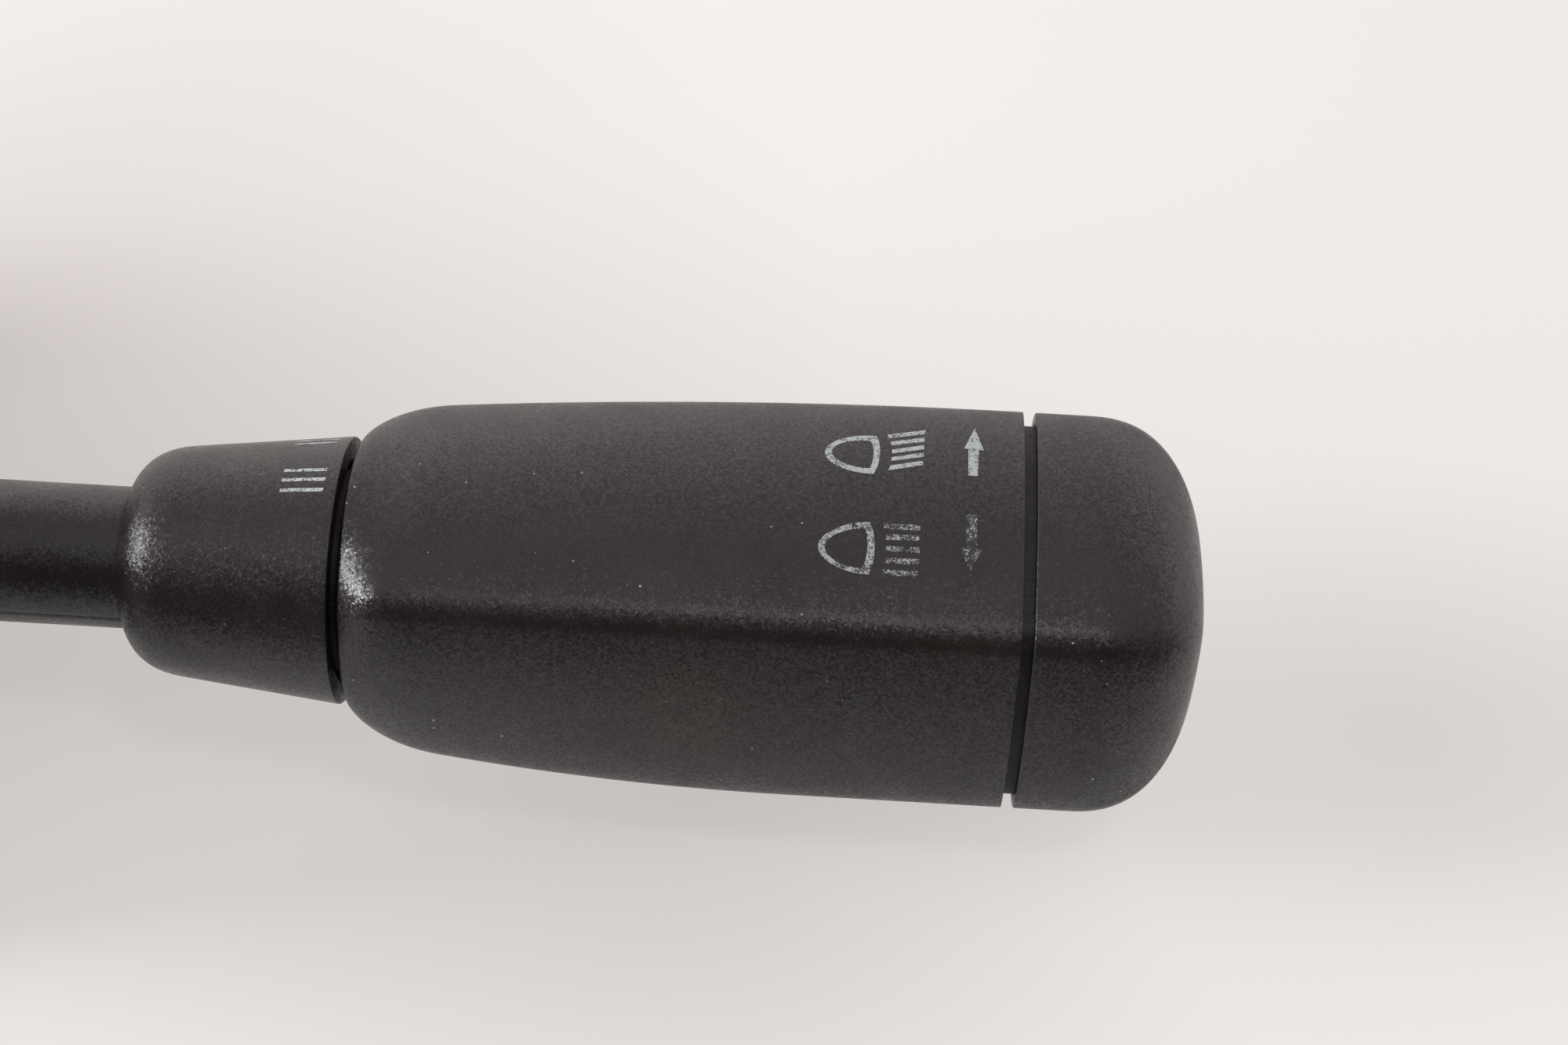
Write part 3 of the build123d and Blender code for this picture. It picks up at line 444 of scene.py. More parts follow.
# ---- the grip's outline ----
START_RADIUS = 10.1 * MM            # round end of the grip, just smaller than the ring's rim
TOP_START, TOP_END = 13.05 * MM, 15.75 * MM
BOTTOM_START, BOTTOM_END = 13.45 * MM, 16.0 * MM
BOTTOM_SWELL = 35 * MM              # the lower edge is straight after this length
RIDGE_START, RIDGE_END = 12.6 * MM, 11.05 * MM
BACK_DEPTH = 10.9 * MM
SIDE_DEPTH = -1.6 * MM              # the widest line lies this far behind the axis
SHOULDER = 7.5 * MM
SHOULDER_FALL, SHOULDER_RISE = 2.5, 0.55
RIDGE_SHOULDER = 5.0 * MM
RIDGE_FALL = 2.2
CREASE_HEIGHT = -0.55 * MM
CREASE_RADIUS = 3.5 * MM
PANEL_SLOPE = math.radians(20)
BELLY_SLOPE = math.radians(-32)
PANEL_HANDLES = 2.0 * MM, 11.6 * MM     # at the panel's upper and lower end
BELLY_HANDLES = 7.0 * MM, 2.5 * MM
QUARTER_HANDLE = 0.5523                 # of a Bezier that stands for a quarter of a circle
POINTS_ON = (44, 16, 42, 28, 28)     # points on panel, crease, belly and the two halves of the back


def shoulder(distance):
    """How far the grip has widened, from 0 at its round end to 1 past its shoulder."""
    left = 1 - min(1.0, distance / SHOULDER)
    return (1 - left ** SHOULDER_FALL) ** SHOULDER_RISE


def ridge_shoulder(distance):
    """How far the crease has come out, from 0 at the round end to 1."""
    left = 1 - min(1.0, distance / RIDGE_SHOULDER)
    return 1 - left ** RIDGE_FALL


def down(slope):
    """Direction down the outline, where the surface faces slope above the panel's direction."""
    return Vector((math.sin(slope), -math.cos(slope)))


def facing(slope):
    """Direction that the surface looks in, slope above the panel's direction."""
    return Vector((math.cos(slope), math.sin(slope)))


def bend(point, slope, slope_after, radius):
    """Bezier that turns the outline from one slope to another."""
    side = 1 if slope_after < slope else -1
    centre = point - facing(slope) * (side * radius)
    after = centre + facing(slope_after) * (side * radius)
    reach = 4 / 3 * math.tan(abs(slope_after - slope) / 4) * radius
    return [point, point + down(slope) * reach, after - down(slope_after) * reach, after]


def full_outline(top, bottom, ridge):
    """Beziers of the outline in (out of the panel, up), from the top over panel, belly and back."""
    high = Vector((SIDE_DEPTH, top))
    low = Vector((SIDE_DEPTH, -bottom))
    edge = Vector((ridge - CREASE_RADIUS * (1 - math.cos(PANEL_SLOPE)), CREASE_HEIGHT))
    crease = bend(edge, PANEL_SLOPE, BELLY_SLOPE, CREASE_RADIUS)
    foot = crease[-1]
    out = Vector((1, 0))
    panel = [high, high + out * PANEL_HANDLES[0], edge - down(PANEL_SLOPE) * PANEL_HANDLES[1], edge]
    belly = [foot, foot + down(BELLY_SLOPE) * BELLY_HANDLES[0], low + out * BELLY_HANDLES[1], low]
    back = Vector((-BACK_DEPTH, 0))
    inwards = Vector(((-BACK_DEPTH - SIDE_DEPTH) * QUARTER_HANDLE, 0))
    back_low = [low, low + inwards, Vector((back.x, -bottom * QUARTER_HANDLE)), back]
    back_high = [back, Vector((back.x, top * QUARTER_HANDLE)), high + inwards, high]
    return [panel, crease, belly, back_low, back_high]


def round_outline(full):
    """The same Beziers laid on the grip's round end, each corner at its own height."""
    def angle(point):
        return math.asin(max(-1.0, min(1.0, point.y / START_RADIUS)))

    corners = [math.pi / 2, angle(full[1][0]), angle(full[2][0]),
               -math.pi / 2, -math.pi, -math.pi * 1.5]
    pieces = []
    for first, second in zip(corners, corners[1:]):
        reach = 4 / 3 * math.tan((first - second) / 4) * START_RADIUS
        a = Vector((math.cos(first), math.sin(first))) * START_RADIUS
        d = Vector((math.cos(second), math.sin(second))) * START_RADIUS
        b = a + Vector((math.sin(first), -math.cos(first))) * reach
        c = d - Vector((math.sin(second), -math.cos(second))) * reach
        pieces.append([a, b, c, d])
    return pieces


def place_on_lever(x, out, rise):
    """Place at x along the lever, out of its panel and up from its axis."""
    return Vector((x, 0, LEVER_HEIGHT)) + PANEL * out + GRIP_UP * rise


def grip_outline(x, scale=1.0):
    """Points round the lever at x, as places in the scene."""
    distance = max(0.0, x - GRIP_LOW.x)
    share = distance / (GRIP_HIGH.x - GRIP_LOW.x)
    swell = 1 - (1 - min(1.0, share)) ** 2
    low_swell = 1 - (1 - min(1.0, distance / BOTTOM_SWELL)) ** 2
    top = TOP_START + (TOP_END - TOP_START) * swell
    bottom = BOTTOM_START + (BOTTOM_END - BOTTOM_START) * low_swell
    ridge = RIDGE_START + (RIDGE_END - RIDGE_START) * min(1.0, share)
    full = full_outline(top, bottom, ridge)
    wide, deep = shoulder(distance), ridge_shoulder(distance)
    points = []
    for first, second, count in zip(round_outline(full), full, POINTS_ON):
        corners = []
        for a, b in zip(first, second):
            out = deep if b.x > SIDE_DEPTH + 0.01 * MM else wide
            corners.append(Vector((a.x + (b.x - a.x) * out, a.y + (b.y - a.y) * wide, 0)))
        points += interpolate_bezier(*corners, count + 1)[:-1]
    return [place_on_lever(x, p.x * scale, p.y * scale) for p in points]


def skin(rings):
    """Grid primitive whose rows are laid on the rings; its seam and its pole are closed."""
    around = len(rings[0])
    deselect()
    bpy.ops.mesh.primitive_grid_add(x_subdivisions=len(rings) - 1, y_subdivisions=around, size=1)
    grid = bpy.context.object
    for point in grid.data.vertices:
        ring = rings[round((point.co.x + 0.5) * (len(rings) - 1))]
        point.co = ring[round((point.co.y + 0.5) * around) % around]
    bpy.ops.object.mode_set(mode="EDIT")
    weld()
    bpy.ops.mesh.normals_make_consistent(inside=False)
    bpy.ops.object.mode_set(mode="OBJECT")


# ---- grip and cap ----
GRIP_ROLL = 0.35 * MM        # the grip's round end rolls in over this length
GRIP_DRAW = 0.035            # and draws in by this share
GRIP_ROWS = 90
GRIP_WALL = 0.68 * MM
CAP_WALL = 0.9 * MM
CAP_STRAIGHT = 4.2 * MM
CAP_POWER = 2.5              # of the superellipse that the tip rounds over on
CAP_ROWS = 60
SOFT_RIM = 0.12 * MM, 3, 50  # width, segments and angle of the moulded rims' rounding
SOFTEN_ROUNDS = 160
SOFTEN_FROM, SOFTEN_OVER = 0.05, 0.5     # where on the tip the crease softens
HELD_HIGH, HELD_LOW = 8, 6               # points held at the panel's top and at the belly's foot


def make_grip(material):
    start, end = GRIP_LOW.x + GRIP_ROLL, GRIP_HIGH.x
    rings = [grip_outline(start - GRIP_ROLL * math.cos(a), 1 - GRIP_DRAW * (1 - math.sin(a)))
             for a in (0, 0.3, 0.7, 1.1)]
    rings += [grip_outline(start + (end - start) * (i / GRIP_ROWS) ** 2)
              for i in range(GRIP_ROWS + 1)]
    skin(rings)
    thicken(GRIP_WALL)
    round_sharp_edges(*SOFT_RIM)
    piece = finish_piece("grip", "lever", material)
    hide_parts("grip_shell")
    return piece


def make_cap(material):
    start, end = CAP_LOW.x, CAP_HIGH.x
    rings = [grip_outline(start + CAP_STRAIGHT * i / 8) for i in range(8)]
    start += CAP_STRAIGHT
    for i in range(CAP_ROWS + 1):
        angle = i / CAP_ROWS * math.pi / 2
        reach = math.sin(angle) ** (2 / CAP_POWER)
        scale = max(0.0, math.cos(angle)) ** (2 / CAP_POWER)
        ring = grip_outline(start + (end - start) * reach, scale)
        rings.append(softened(ring, ease((reach - SOFTEN_FROM) / SOFTEN_OVER)))
    skin(rings)
    thicken(CAP_WALL)
    round_sharp_edges(*SOFT_RIM)
    piece = finish_piece("cap", "washer_cap", material, 60)
    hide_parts("washer_cap")


def softened(ring, share):
    """The ring with its panel, crease and belly smoothed towards one curve."""
    last = sum(POINTS_ON[:3]) - HELD_LOW
    for _ in range(round(share * SOFTEN_ROUNDS)):
        inner = [(ring[i - 1] + ring[i] * 2 + ring[i + 1]) / 4 for i in range(HELD_HIGH, last)]
        ring = ring[:HELD_HIGH] + inner + ring[last:]
    return ring


# ---- wiper ring ----
CURVE_STEPS = 12
SPIN_STEPS = 160
STILL = (0, 0)               # handle of a sharp corner
# sizes of the ring's profile, in millimetres
NECK_GAP = 0.12              # between the ring and the stem
NECK_LENGTH = 5.0            # of the bearing on the stem
RING_SHOULDER = 4.5          # length of the round left end
RING_SHOULDER_DROP = 1.48    # from the rim to where the shoulder ends
RING_EDGE, RING_EDGE_DROP = 0.15, 0.17
RING_WALL = 1.7
RING_ROOM_DROP = 3.2         # from the rim to the wall of the hollow at its left end


def spin_profile(knots):
    """Closed profile of knots (x, radius, handle before, handle after) spun about the axis."""
    deselect()
    bpy.ops.curve.primitive_bezier_circle_add(radius=MM)
    curve = bpy.context.object
    spline = curve.data.splines[0]
    spline.bezier_points.add(len(knots) - len(spline.bezier_points))
    for point, (x, radius, before, after) in zip(spline.bezier_points, knots):
        point.handle_left_type = point.handle_right_type = "FREE"
        centre = Vector((x, 0, LEVER_HEIGHT / MM + radius))
        point.co = centre * MM
        point.handle_left = (centre + Vector((before[0], 0, before[1]))) * MM
        point.handle_right = (centre + Vector((after[0], 0, after[1]))) * MM
    curve.data.dimensions = "3D"
    curve.data.resolution_u = CURVE_STEPS
    bpy.ops.object.convert(target="MESH")
    bpy.ops.object.mode_set(mode="EDIT")
    weld()
    bpy.ops.mesh.select_all(action="SELECT")
    bpy.ops.mesh.spin(steps=SPIN_STEPS, angle=2 * math.pi, center=(0, 0, LEVER_HEIGHT), axis=X_AXIS)
    weld()
    bpy.ops.mesh.normals_make_consistent(inside=False)
    bpy.ops.object.mode_set(mode="OBJECT")


def make_ring(material):
    """Tapered hollow ring: round left end, slightly crowned cone, rim with a small edge."""
    left, right = RING_LOW.x / MM, RING_HIGH.x / MM
    rim = RIM_RADIUS / MM
    bore = STEM_RADIUS / MM + NECK_GAP
    web = left + NECK_LENGTH
    knots = [
        (left, bore, STILL, (0.6, 1.65)),
        (left + RING_SHOULDER, rim - RING_SHOULDER_DROP, (-2.9, -0.37), (0.5, 0.058)),
        (right - RING_EDGE, rim - 0.015, (-0.5, -0.055), (0.09, 0.01)),
        (right, rim - RING_EDGE_DROP, (0, 0.09), STILL),
        (right, rim - RING_WALL, STILL, STILL),
        (web, rim - RING_ROOM_DROP, STILL, STILL),
        (web, bore, STILL, STILL),
    ]
    spin_profile(knots)
    piece = finish_piece("ring", "wiper_ring", material)
    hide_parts("wiper_ring")
    return piece


# ---- prints ----
PRINT_PROUD = 0.012 * MM
RAY_START = 30 * MM          # from the lever's axis, well outside it


def view_ray(spot):
    """Ray from the camera through a spot of the image, in pixels."""
    across = (spot[0] - IMAGE_WIDTH / 2) / FOCAL_PIXELS
    rise = (IMAGE_HEIGHT / 2 - spot[1]) / FOCAL_PIXELS
    return CAMERA_PLACE, (CAMERA_RIGHT * across + CAMERA_UP * rise - CAMERA_BACK).normalized()


def outward(angle):
    """Direction away from the lever's axis at an angle that turns from -Y towards +Z."""
    return Vector((0, -math.cos(angle), math.sin(angle)))


def side_ray(spot):
    """Ray towards the lever's axis, at x and from an angle."""
    x, angle = spot
    return Vector((x, 0, LEVER_HEIGHT)) + outward(angle) * RAY_START, -outward(angle)


def between(first, second, share):
    return tuple(a + (b - a) * share for a, b in zip(first, second))


def patch(start_edge, end_edge, steps_along, steps_across):
    """Rows of spots from one edge to another, each edge given by its two ends."""
    rows = []
    for i in range(steps_along + 1):
        low = between(start_edge[0], end_edge[0], i / steps_along)
        high = between(start_edge[1], end_edge[1], i / steps_along)
        rows.append([between(low, high, j / steps_across) for j in range(steps_across + 1)])
    return rows


def loop_rows(outer, inner, steps):
    """Rows of spots between two closed lines of Beziers."""
    rows = []
    for first, second in zip(outer, inner):
        far = interpolate_bezier(*(Vector(p) for p in first), steps + 1)[:-1]
        near = interpolate_bezier(*(Vector(p) for p in second), steps + 1)[:-1]
        rows += [[between(a, b, j / 4) for j in range(5)] for a, b in zip(far, near)]
    return rows + [rows[0]]


def lay(carrier, rows, ray=view_ray):
    """Grid primitive whose rows are laid on the carrier's surface."""
    deselect()
    bpy.ops.mesh.primitive_grid_add(x_subdivisions=len(rows) - 1, y_subdivisions=len(rows[0]) - 1,
                                    size=1)
    grid = bpy.context.object
    for point in grid.data.vertices:
        row = rows[round((point.co.x + 0.5) * (len(rows) - 1))]
        spot = row[round((point.co.y + 0.5) * (len(row) - 1))]
        place, normal, _, _ = carrier.ray_cast(*ray(spot))
        point.co = place + normal * PRINT_PROUD
    bpy.ops.object.mode_set(mode="EDIT")
    weld()
    bpy.ops.object.mode_set(mode="OBJECT")
    return grid


def face_outwards(piece, direction):
    """Turns a print over where its faces look into the lever."""
    if sum(f.normal.dot(direction) * f.area for f in piece.data.polygons) < 0:
        piece.data.flip_normals()


def make_print(name, body, pieces, direction, material):
    """One printed mark of one or more laid pieces."""
    deselect()
    for piece in pieces:
        face_outwards(piece, direction)
        piece.select_set(True)
    bpy.context.view_layer.objects.active = pieces[0]
    if len(pieces) > 1:
        bpy.ops.object.join()
    finish_piece(name, body, material, 80)


def surface_of(piece):
    return BVHTree.FromObject(piece, bpy.context.evaluated_depsgraph_get())


# Marks on the panel, in pixels of the image: a lens is an outer and an inner line of Beziers.
LOW_LENS = (
    [[(1118.3, 556.4), (1085, 553.5), (1052.3, 562), (1052.3, 577.1)],
     [(1052.3, 577.1), (1052.3, 590), (1080, 603.5), (1114.2, 604.6)],
     [(1114.2, 604.6), (1124, 590), (1125, 568), (1118.3, 556.4)]],
    [[(1110.4, 562.6), (1083, 560.5), (1061.1, 566), (1061.1, 576.3)],
     [(1061.1, 576.3), (1061.1, 586), (1083, 596.5), (1109.6, 597.5)],
     [(1109.6, 597.5), (1115.5, 585), (1116, 570), (1110.4, 562.6)]])
HIGH_LENS = (
    [[(1110.4, 666.2), (1080, 664), (1043.2, 680), (1043.2, 696)],
     [(1043.2, 696), (1043.2, 716), (1078, 732), (1107.8, 732.9)],
     [(1107.8, 732.9), (1118, 712), (1118, 688), (1110.4, 666.2)]],
    [[(1103.5, 674), (1079, 673.5), (1051.9, 684), (1051.9, 697.5)],
     [(1051.9, 697.5), (1051.9, 711), (1076, 724), (1099.6, 724.8)],
     [(1099.6, 724.8), (1108, 708), (1108, 690), (1103.5, 674)]])
LOW_BEAMS = [    # left end and right end, each from upper to lower corner
    [((1132.2, 554.6), (1134.1, 559.2)), ((1180.8, 548.8), (1179.7, 553.8))],
    [((1136.1, 563.6), (1137.1, 568.4)), ((1179.7, 558.3), (1179.2, 563.6))],
    [((1137.6, 573.6), (1138.1, 578.5)), ((1178.8, 568.1), (1178.5, 573.3))],
    [((1137.1, 583.1), (1136.4, 588.1)), ((1178.5, 577.4), (1178.0, 582.8))],
    [((1135.6, 593.8), (1133.0, 600.1)), ((1177.7, 587.7), (1177.3, 593.3))]]
HIGH_BEAMS = [   # left end and right end of each beam's middle line
    [(1127.5, 671.2), (1174.0, 673.5)],
    [(1130.3, 685.0), (1172.4, 686.5)],
    [(1130.3, 700.0), (1173.1, 701.8)],
    [(1129.2, 714.9), (1172.4, 716.8)],
    [(1125.7, 730.2), (1170.1, 732.1)]]
BEAM_HALF = 3.5
ARROW_UP = [     # tip and wings of the head, then neck and foot of the shaft
    ((1243.5, 546.5), (1243.5, 546.5)), ((1229.8, 572.2), (1255, 574.8)),
    ((1235, 573), (1248.7, 574.4)), ((1235.1, 606.9), (1247, 607.3))]
ARROW_DOWN = [
    ((1237.7, 730.2), (1237.7, 730.2)), ((1225.2, 699.5), (1252, 701)),
    ((1232, 700), (1246.4, 700.6)), ((1232.4, 655.9), (1246.6, 656))]
RING_STROKES = {      # angles round the lever of the strokes of each roman number
    "three": (89.4, 95.2, 101.0), "two": (125.5, 131.3), "one": (163.0,)}
RING_NOUGHT = math.radians(198.0)
NOUGHT_POINTS = 32
NOUGHT_HALF = 0.12                                  # radians
NOUGHT_LINE = (1, 0.93, 0.86, 0.8)                  # from its outside to its inside
STROKE_START, STROKE_END = 12.9 * MM, 16.3 * MM     # from the ring's left end
STROKE_HALF = 0.0165                                # radians
INDEX_START, INDEX_END = 4 * MM, 7 * MM             # from the grip's round end


def strip_rows(left, right):
    """Rows along a high beam's ray between two spots of its middle line."""
    start = ((left[0], left[1] - BEAM_HALF), (left[0], left[1] + BEAM_HALF))
    end = ((right[0], right[1] - BEAM_HALF), (right[0], right[1] + BEAM_HALF))
    return patch(start, end, 14, 3)


def stroke_rows(start, end, angle):
    """Rows of a stroke along the lever at an angle round it."""
    low, high = angle - STROKE_HALF, angle + STROKE_HALF
    return patch(((start, low), (start, high)), ((end, low), (end, high)), 12, 3)


def make_grip_prints(grip):
    surface = surface_of(grip)
    fresh = worn_print("print_fresh", 0.92)
    half_worn = worn_print("print_half_worn", 0.66)
    worn = worn_print("print_worn", 0.42)
    faint = worn_print("print_faint", 0.2)

    def put_on(name, rows, paint):
        make_print(name, "lever", [lay(surface, r) for r in rows], PANEL, paint)

    put_on("low_beam_lens", [loop_rows(*LOW_LENS, 16)], fresh)
    put_on("low_beam_rays", [patch(*ends, 14, 3) for ends in LOW_BEAMS], fresh)
    put_on("high_beam_lens", [loop_rows(*HIGH_LENS, 18)], half_worn)
    put_on("high_beam_rays", [strip_rows(*ends) for ends in HIGH_BEAMS], worn)
    for name, arrow, paint in (("arrow_up", ARROW_UP, fresh), ("arrow_down", ARROW_DOWN, faint)):
        put_on(name, [patch(*arrow[:2], 8, 6), patch(*arrow[2:], 10, 4)], paint)
    mark = stroke_rows(GRIP_LOW.x + INDEX_START, GRIP_LOW.x + INDEX_END, RING_NOUGHT)
    make_print("ring_index", "lever", [lay(surface, mark, side_ray)], outward(RING_NOUGHT), fresh)


def make_ring_prints(ring):
    surface = surface_of(ring)
    paint = worn_print("print_ring", 0.78, RING_PAINT)
    start, end = RING_LOW.x + STROKE_START, RING_LOW.x + STROKE_END
    for name, degrees in RING_STROKES.items():
        angles = [math.radians(a) for a in degrees]
        strokes = [lay(surface, stroke_rows(start, end, a), side_ray) for a in angles]
        make_print("ring_" + name, "wiper_ring", strokes, outward(angles[0]), paint)
    middle, reach = (start + end) / 2, (end - start) / 2
    rows = []
    for i in range(NOUGHT_POINTS + 1):
        turn = i / NOUGHT_POINTS * 2 * math.pi
        x, side = reach * math.cos(turn), NOUGHT_HALF * math.sin(turn)
        rows.append([(middle + x * s, RING_NOUGHT + side * s) for s in NOUGHT_LINE])
    nought = [lay(surface, rows, side_ray)]
    make_print("ring_nought", "wiper_ring", nought, outward(RING_NOUGHT), paint)


# ---- stem ----
STEM_POINTS = 160
STEM_ROWS = 40
STEM_EDGE = 0.4 * MM         # the left end narrows over this length
STEM_END_EDGE = 0.1 * MM
STEM_DRAW = 0.93             # and to this share
POLE = 0.001                 # scale of a ring that closes an end
FLAT_ANGLE = math.radians(-115)
FLAT_DEPTH = 0.3 * MM
SEAM_POINT = 134             # the point on the moulding seam
SEAM_DEPTH = 0.10 * MM


def make_stem(material):
    """Moulded stem with the flat and the seam left by its parting line."""
    flat_reach = STEM_RADIUS - FLAT_DEPTH

    def ring_at(x, scale):
        ring = []
        for i in range(STEM_POINTS):
            angle = i / STEM_POINTS * 2 * math.pi
            off = math.cos(angle - FLAT_ANGLE)
            radius = STEM_RADIUS if off * STEM_RADIUS < flat_reach else flat_reach / off
            radius -= SEAM_DEPTH if i == SEAM_POINT else 0
            out, rise = radius * scale * math.cos(angle), radius * scale * math.sin(angle)
            ring.append(place_on_lever(x, out, rise))
        return ring

    start, end = STEM_LOW.x, STEM_HIGH.x
    first, last = start + STEM_EDGE, end - STEM_END_EDGE
    rings = [ring_at(start, POLE), ring_at(start, STEM_DRAW)]
    rings += [ring_at(first + (last - first) * i / STEM_ROWS, 1) for i in range(STEM_ROWS + 1)]
    rings += [ring_at(end, STEM_DRAW), ring_at(end, POLE)]
    skin(rings)
    piece = finish_piece("stem", "lever", material, 30)
    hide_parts("lever_stem")


# ---- the CAD nodes that keep their shape ----
EDGE_ROUNDING = {      # millimetres, on moulded, cast and turned pieces that are never quite sharp
    "switch_housing": 0.35, "housing_cover": 0.25, "column_bracket": 0.6, "connector_shroud": 0.3,
    "cover_screws": 0.12, "bracket_screws": 0.12, "turn_carrier": 0.2, "cancel_pawl": 0.25,
    "terminal_blades": 0.06, "lever_yoke": 0.3}
CAD_WELD = 0.003 * MM
CAD_FLAT = math.radians(0.6)     # faces that turn less than this are one face


def finish_cad_nodes(finishes):
    for node, obj in frame["nodes"].items():
        obj.data.materials.clear()
        obj.data.materials.append(finishes[SLOTS[node]])


def merged_copy(node, name):
    """Copy of a CAD node, merged to whole faces, as the active object."""
    deselect()
    copy = bpy.data.objects.new(name, frame["nodes"][node].data.copy())
    bpy.context.collection.objects.link(copy)
    copy.select_set(True)
    bpy.context.view_layer.objects.active = copy
    bpy.ops.object.mode_set(mode="EDIT")
    weld(CAD_WELD)
    bpy.ops.mesh.dissolve_limited(angle_limit=CAD_FLAT)
    bpy.ops.object.mode_set(mode="OBJECT")


def finish_copy(node, name, body, smooth, finishes):
    """Finishes the active copy of a CAD node, which it replaces."""
    piece = finish_piece(name, body, finishes[SLOTS[node]], smooth)
    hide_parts(node)
    return piece


def round_edges(node, width, finishes):
    """Copy of a CAD node with its edges rounded."""
    name = "rounded_" + node
    merged_copy(node, name)
    round_sharp_edges(width * MM, 2, 35)
    finish_copy(node, name, BODY_OF[node], 35, finishes)


def make_coil(bent, finishes):
    """Coil spring that the plunger or the cap pushes, as a merged copy with a mesh of its own."""
    node, side = bent["node"], bent["mode"][-1]
    place = "xyz".index(side)
    axis, anchor = [0, 0, 0], [0, 0, 0]
    axis[place] = 1
    anchor[place] = bent[f"fixed_end_{side}_m"]
    merged_copy(node, "coil_" + node)
    piece = finish_copy(node, "coil_" + node, BODY_OF[node], 50, finishes)
    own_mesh(piece)


def make_springs(finishes):
    for joint in BEHAVIOUR["joints"]:
        for bent in joint.get("deforming_nodes", []):
            if bent["mode"].startswith("scale_"):
                make_coil(bent, finishes)


def make_hairpin(finishes):
    """Hairpin spring whose bend sits on the carrier's stub and whose legs bear on the pawl, as a
    merged copy hung on no body.
    """
    node = "pawl_spring"
    merged_copy(node, "hairpin_" + node)
    piece = finish_copy(node, "hairpin_" + node, None, 50, finishes)
    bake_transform(piece)


# ---- table ----
TABLE_SIZE = 4
FLOOR_PALE = (0.80, 0.768, 0.748)
FLOOR_SEEN = (0.87, 0.86, 0.855)
# colour of the painted shadows, towards which the table's seen colour darkens in soft round patches
PAINTED_SHADOW_COLOUR = (0.60, 0.56, 0.53)
PAINTED_SHADOWS_AT = [         # middle and reach of each painted shadow on the table, and how dark it is painted there
    ((0.042, 0.048, 0), 0.076, 1.0), ((0.170, 0.006, 0), 0.034, 0.5),
    ((0.105, -0.018, 0), 0.050, 0.35)]
FLOOR_SHADOW = 0.47      # how much of the real shade on the table the camera gets
GLOSS_FROM, GLOSS_TO = -0.15, -0.03      # painted shade: the lever's gloss sees the table fade from dark to pale in between these
GLOSS_LEAST = 0.12
NO_LIGHT = (0, 0, 0, 1)


def table_top(name):
    """Pale table with soft real shadows and painted shadows, whose part towards the viewer is
    painted dark in the lever's gloss.
    """
    material, tree, shader, place = new_material(name)
    y = add(tree, "SeparateXYZ", Vector=place).outputs["Y"]
    nearness = remap(tree, y, GLOSS_FROM, GLOSS_TO, GLOSS_LEAST, 1.0)
    # painted shadows: soft round patches where the table's seen colour is darkened
    dim = 0.0
    for middle, reach, most in PAINTED_SHADOWS_AT:
        away = vector_calc(tree, "DISTANCE", place, middle)["Value"]
        dim = calc(tree, "MAXIMUM", remap(tree, away, reach, reach * 0.05, 0, most), dim)
    path = add(tree, "LightPath").outputs
    # painted shade in the gloss: for glossy rays the table is painted darker towards the viewer
    keep = calc(tree, "MAXIMUM", nearness, calc(tree, "SUBTRACT", 1.0, path["Is Glossy Ray"]))
    pale = blend_colours(tree, keep, NO_LIGHT, FLOOR_PALE + (1,))
    put(tree, shader.inputs["Base Color"], pale)
    shader.inputs["Roughness"].default_value = 0.8
    shader.inputs["Specular IOR Level"].default_value = 0.2
    # the table's seen colour with its painted shadows
    seen_with_painted_shadows = blend_colours(tree, dim, FLOOR_SEEN + (1,), PAINTED_SHADOW_COLOUR + (1,))
    glow = add(tree, "Emission", Color=blend_colours(tree, keep, NO_LIGHT, seen_with_painted_shadows), Strength=1.0)
    seen = calc(tree, "MAXIMUM", path["Is Camera Ray"], path["Is Glossy Ray"])
    mixed = add(tree, "MixShader", Fac=calc(tree, "MULTIPLY", seen, 1 - FLOOR_SHADOW))
    tree.links.new(shader.outputs[0], mixed.inputs[1])
    tree.links.new(glow.outputs[0], mixed.inputs[2])
    tree.links.new(mixed.outputs[0], tree.nodes["Material Output"].inputs["Surface"])
    return material


def make_stage():
    deselect()
    bpy.ops.mesh.primitive_plane_add(size=TABLE_SIZE)
    floor = bpy.context.object
    floor.name = "table"
    floor.data.materials.append(table_top("table_top"))


# ---- lights ----
LAMPS = [          # name, place, aim, size and watts
    ("left_window", (-0.50, -0.06, 0.20), (0.08, 0, 0.03), 0.2, 5.8),
    ("high_window", (0.197, -0.165, 0.503), (0.139, 0, 0.03), 0.05, 0.26)]
ROOM_LEVELS = [    # brightness of the room by the angle from the panel up over the lever's back
    (-180, 0.3), (-60, 0.12), (-45, 0.06), (-28, 0.04), (-10, 0.25), (8, 0.65), (24, 0.9),
    (40, 0.5), (58, 0.55), (76, 1.05), (95, 1.4), (115, 1.42), (135, 1.3), (180, 0.4)]
ROOM_TOP = 2.0           # brightness at a ramp value of 1
ROOM_TINT = (1.035, 0.99, 0.98)
ROOM_SEEN = 0.87         # brightness where the camera looks past the table


def area_lamp(name, place, aim, size, power):
    deselect()
    bpy.ops.object.light_add(type="AREA", location=place)
    lamp = bpy.context.object
    lamp.name = name
    lamp.data.size = size
    lamp.data.energy = power
    lamp.rotation_euler = (Vector(aim) - Vector(place)).to_track_quat("-Z", "Y").to_euler()


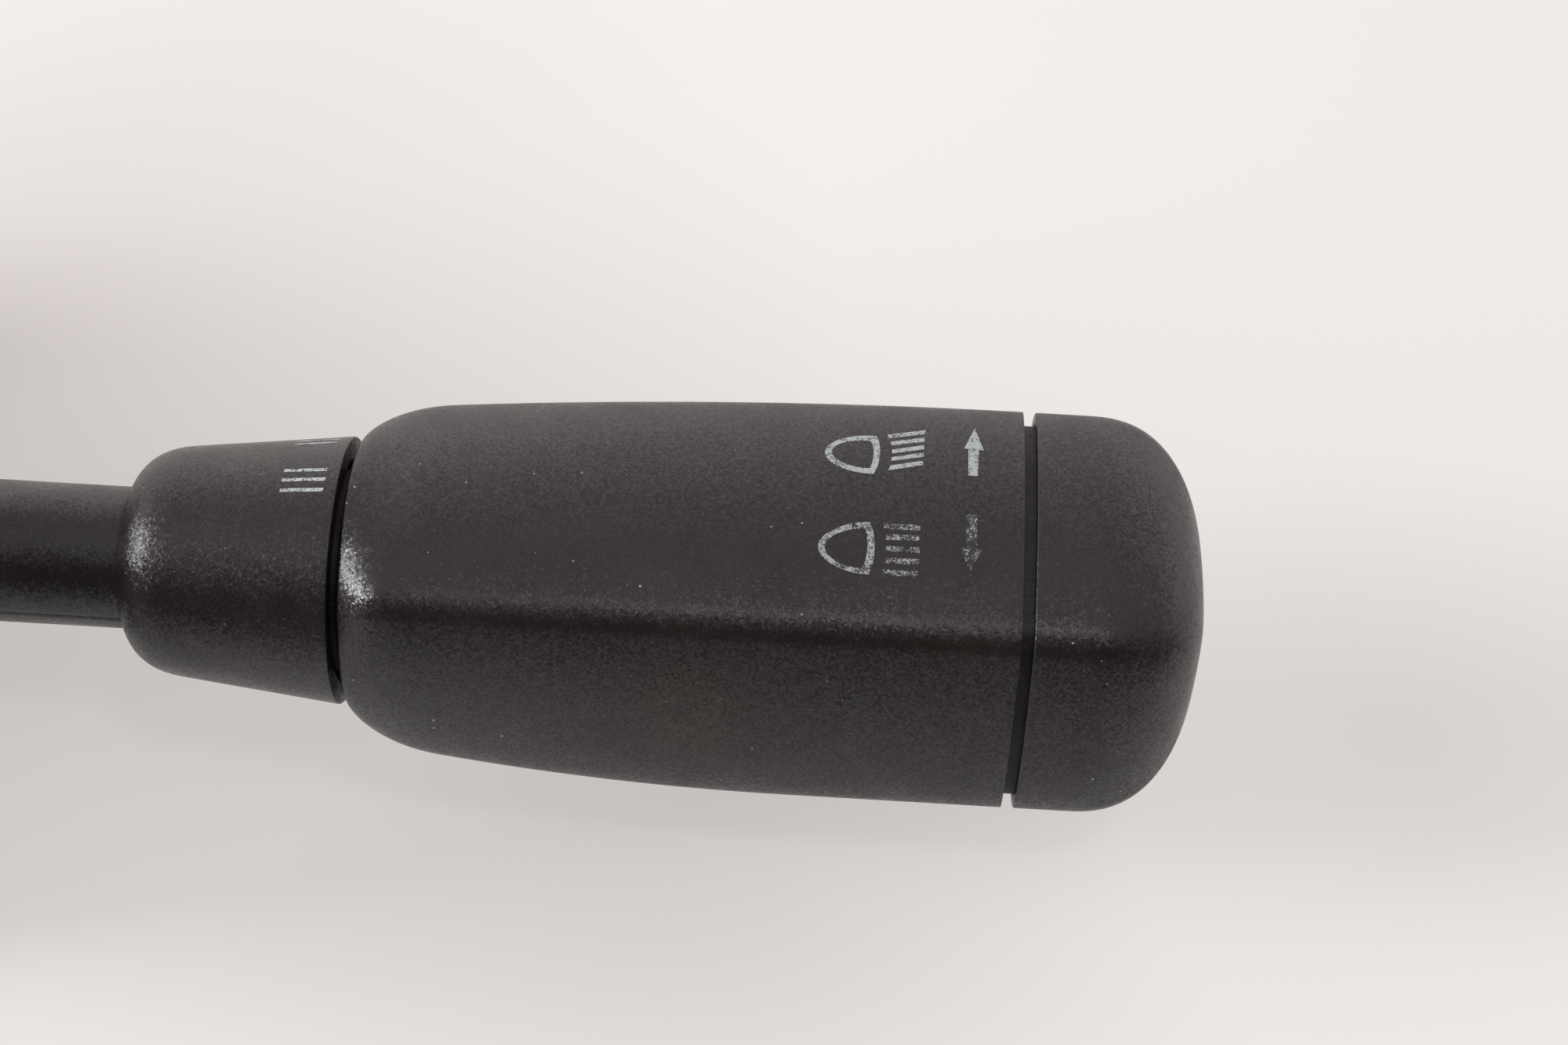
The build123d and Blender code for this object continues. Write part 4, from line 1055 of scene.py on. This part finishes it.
def make_room():
    """Soft room light: bright behind the lever's back, dim towards the viewer."""
    world = bpy.data.worlds.new("room")
    bpy.context.scene.world = world
    world.use_nodes = True
    tree = world.node_tree
    look = add(tree, "TexCoord").outputs["Generated"]
    angle = calc(tree, "ARCTAN2", dot(tree, look, GRIP_UP), dot(tree, look, PANEL))
    ramp = add(tree, "ValToRGB", Fac=remap(tree, angle, -math.pi, math.pi))
    stops = ramp.color_ramp.elements
    while len(stops) < len(ROOM_LEVELS):
        stops.new(0.5)
    for stop, (degrees, level) in zip(stops, ROOM_LEVELS):
        stop.position = degrees / 360 + 0.5
        stop.color = [level / ROOM_TOP * tint for tint in ROOM_TINT] + [1]
    seen = add(tree, "LightPath").outputs["Is Camera Ray"]
    plain = (ROOM_SEEN / ROOM_TOP,) * 3 + (1,)
    background = tree.nodes["Background"]
    put(tree, background.inputs["Color"], blend_colours(tree, seen, ramp.outputs["Color"], plain))
    background.inputs["Strength"].default_value = ROOM_TOP


# ---- scene ----
bpy.context.scene.view_settings.view_transform = "Standard"
make_camera()
BLACK_PLASTIC = grained_black("grained_black")
FINISHES = {
    "grained_black": BLACK_PLASTIC,
    "sleeve_black": rubbed_sleeve("rubbed_sleeve"),
    "housing_plastic": flat_plastic("housing_plastic", (0.030, 0.030, 0.032), 0.55),
    "connector_plastic": flat_plastic("connector_plastic", (0.36, 0.35, 0.32), 0.5),
    "natural_plastic": flat_plastic("natural_plastic", (0.74, 0.71, 0.62), 0.42),
    "board_laminate": flat_plastic("board_laminate", (0.26, 0.13, 0.055), 0.5, 1200.0),
    "cast_aluminium": cast_metal("cast_aluminium", (0.58, 0.58, 0.58), 0.45),
    "die_cast_zinc": cast_metal("die_cast_zinc", (0.46, 0.47, 0.49), 0.4),
    "zinc_plated_steel": plated_metal("zinc_plated_steel", (0.66, 0.67, 0.69), 0.3),
    "spring_steel": plated_metal("spring_steel", (0.40, 0.40, 0.42), 0.32),
    "contact_brass": plated_metal("contact_brass", (0.76, 0.60, 0.32), 0.3),
}
finish_cad_nodes(FINISHES)
for cad_node, rounding in EDGE_ROUNDING.items():
    round_edges(cad_node, rounding, FINISHES)
make_springs(FINISHES)
make_hairpin(FINISHES)
GRIP = make_grip(BLACK_PLASTIC)
make_cap(BLACK_PLASTIC)
RING = make_ring(BLACK_PLASTIC)
make_stem(BLACK_PLASTIC)
make_grip_prints(GRIP)
make_ring_prints(RING)
make_stage()
make_room()
for lamp in LAMPS:
    area_lamp(*lamp)
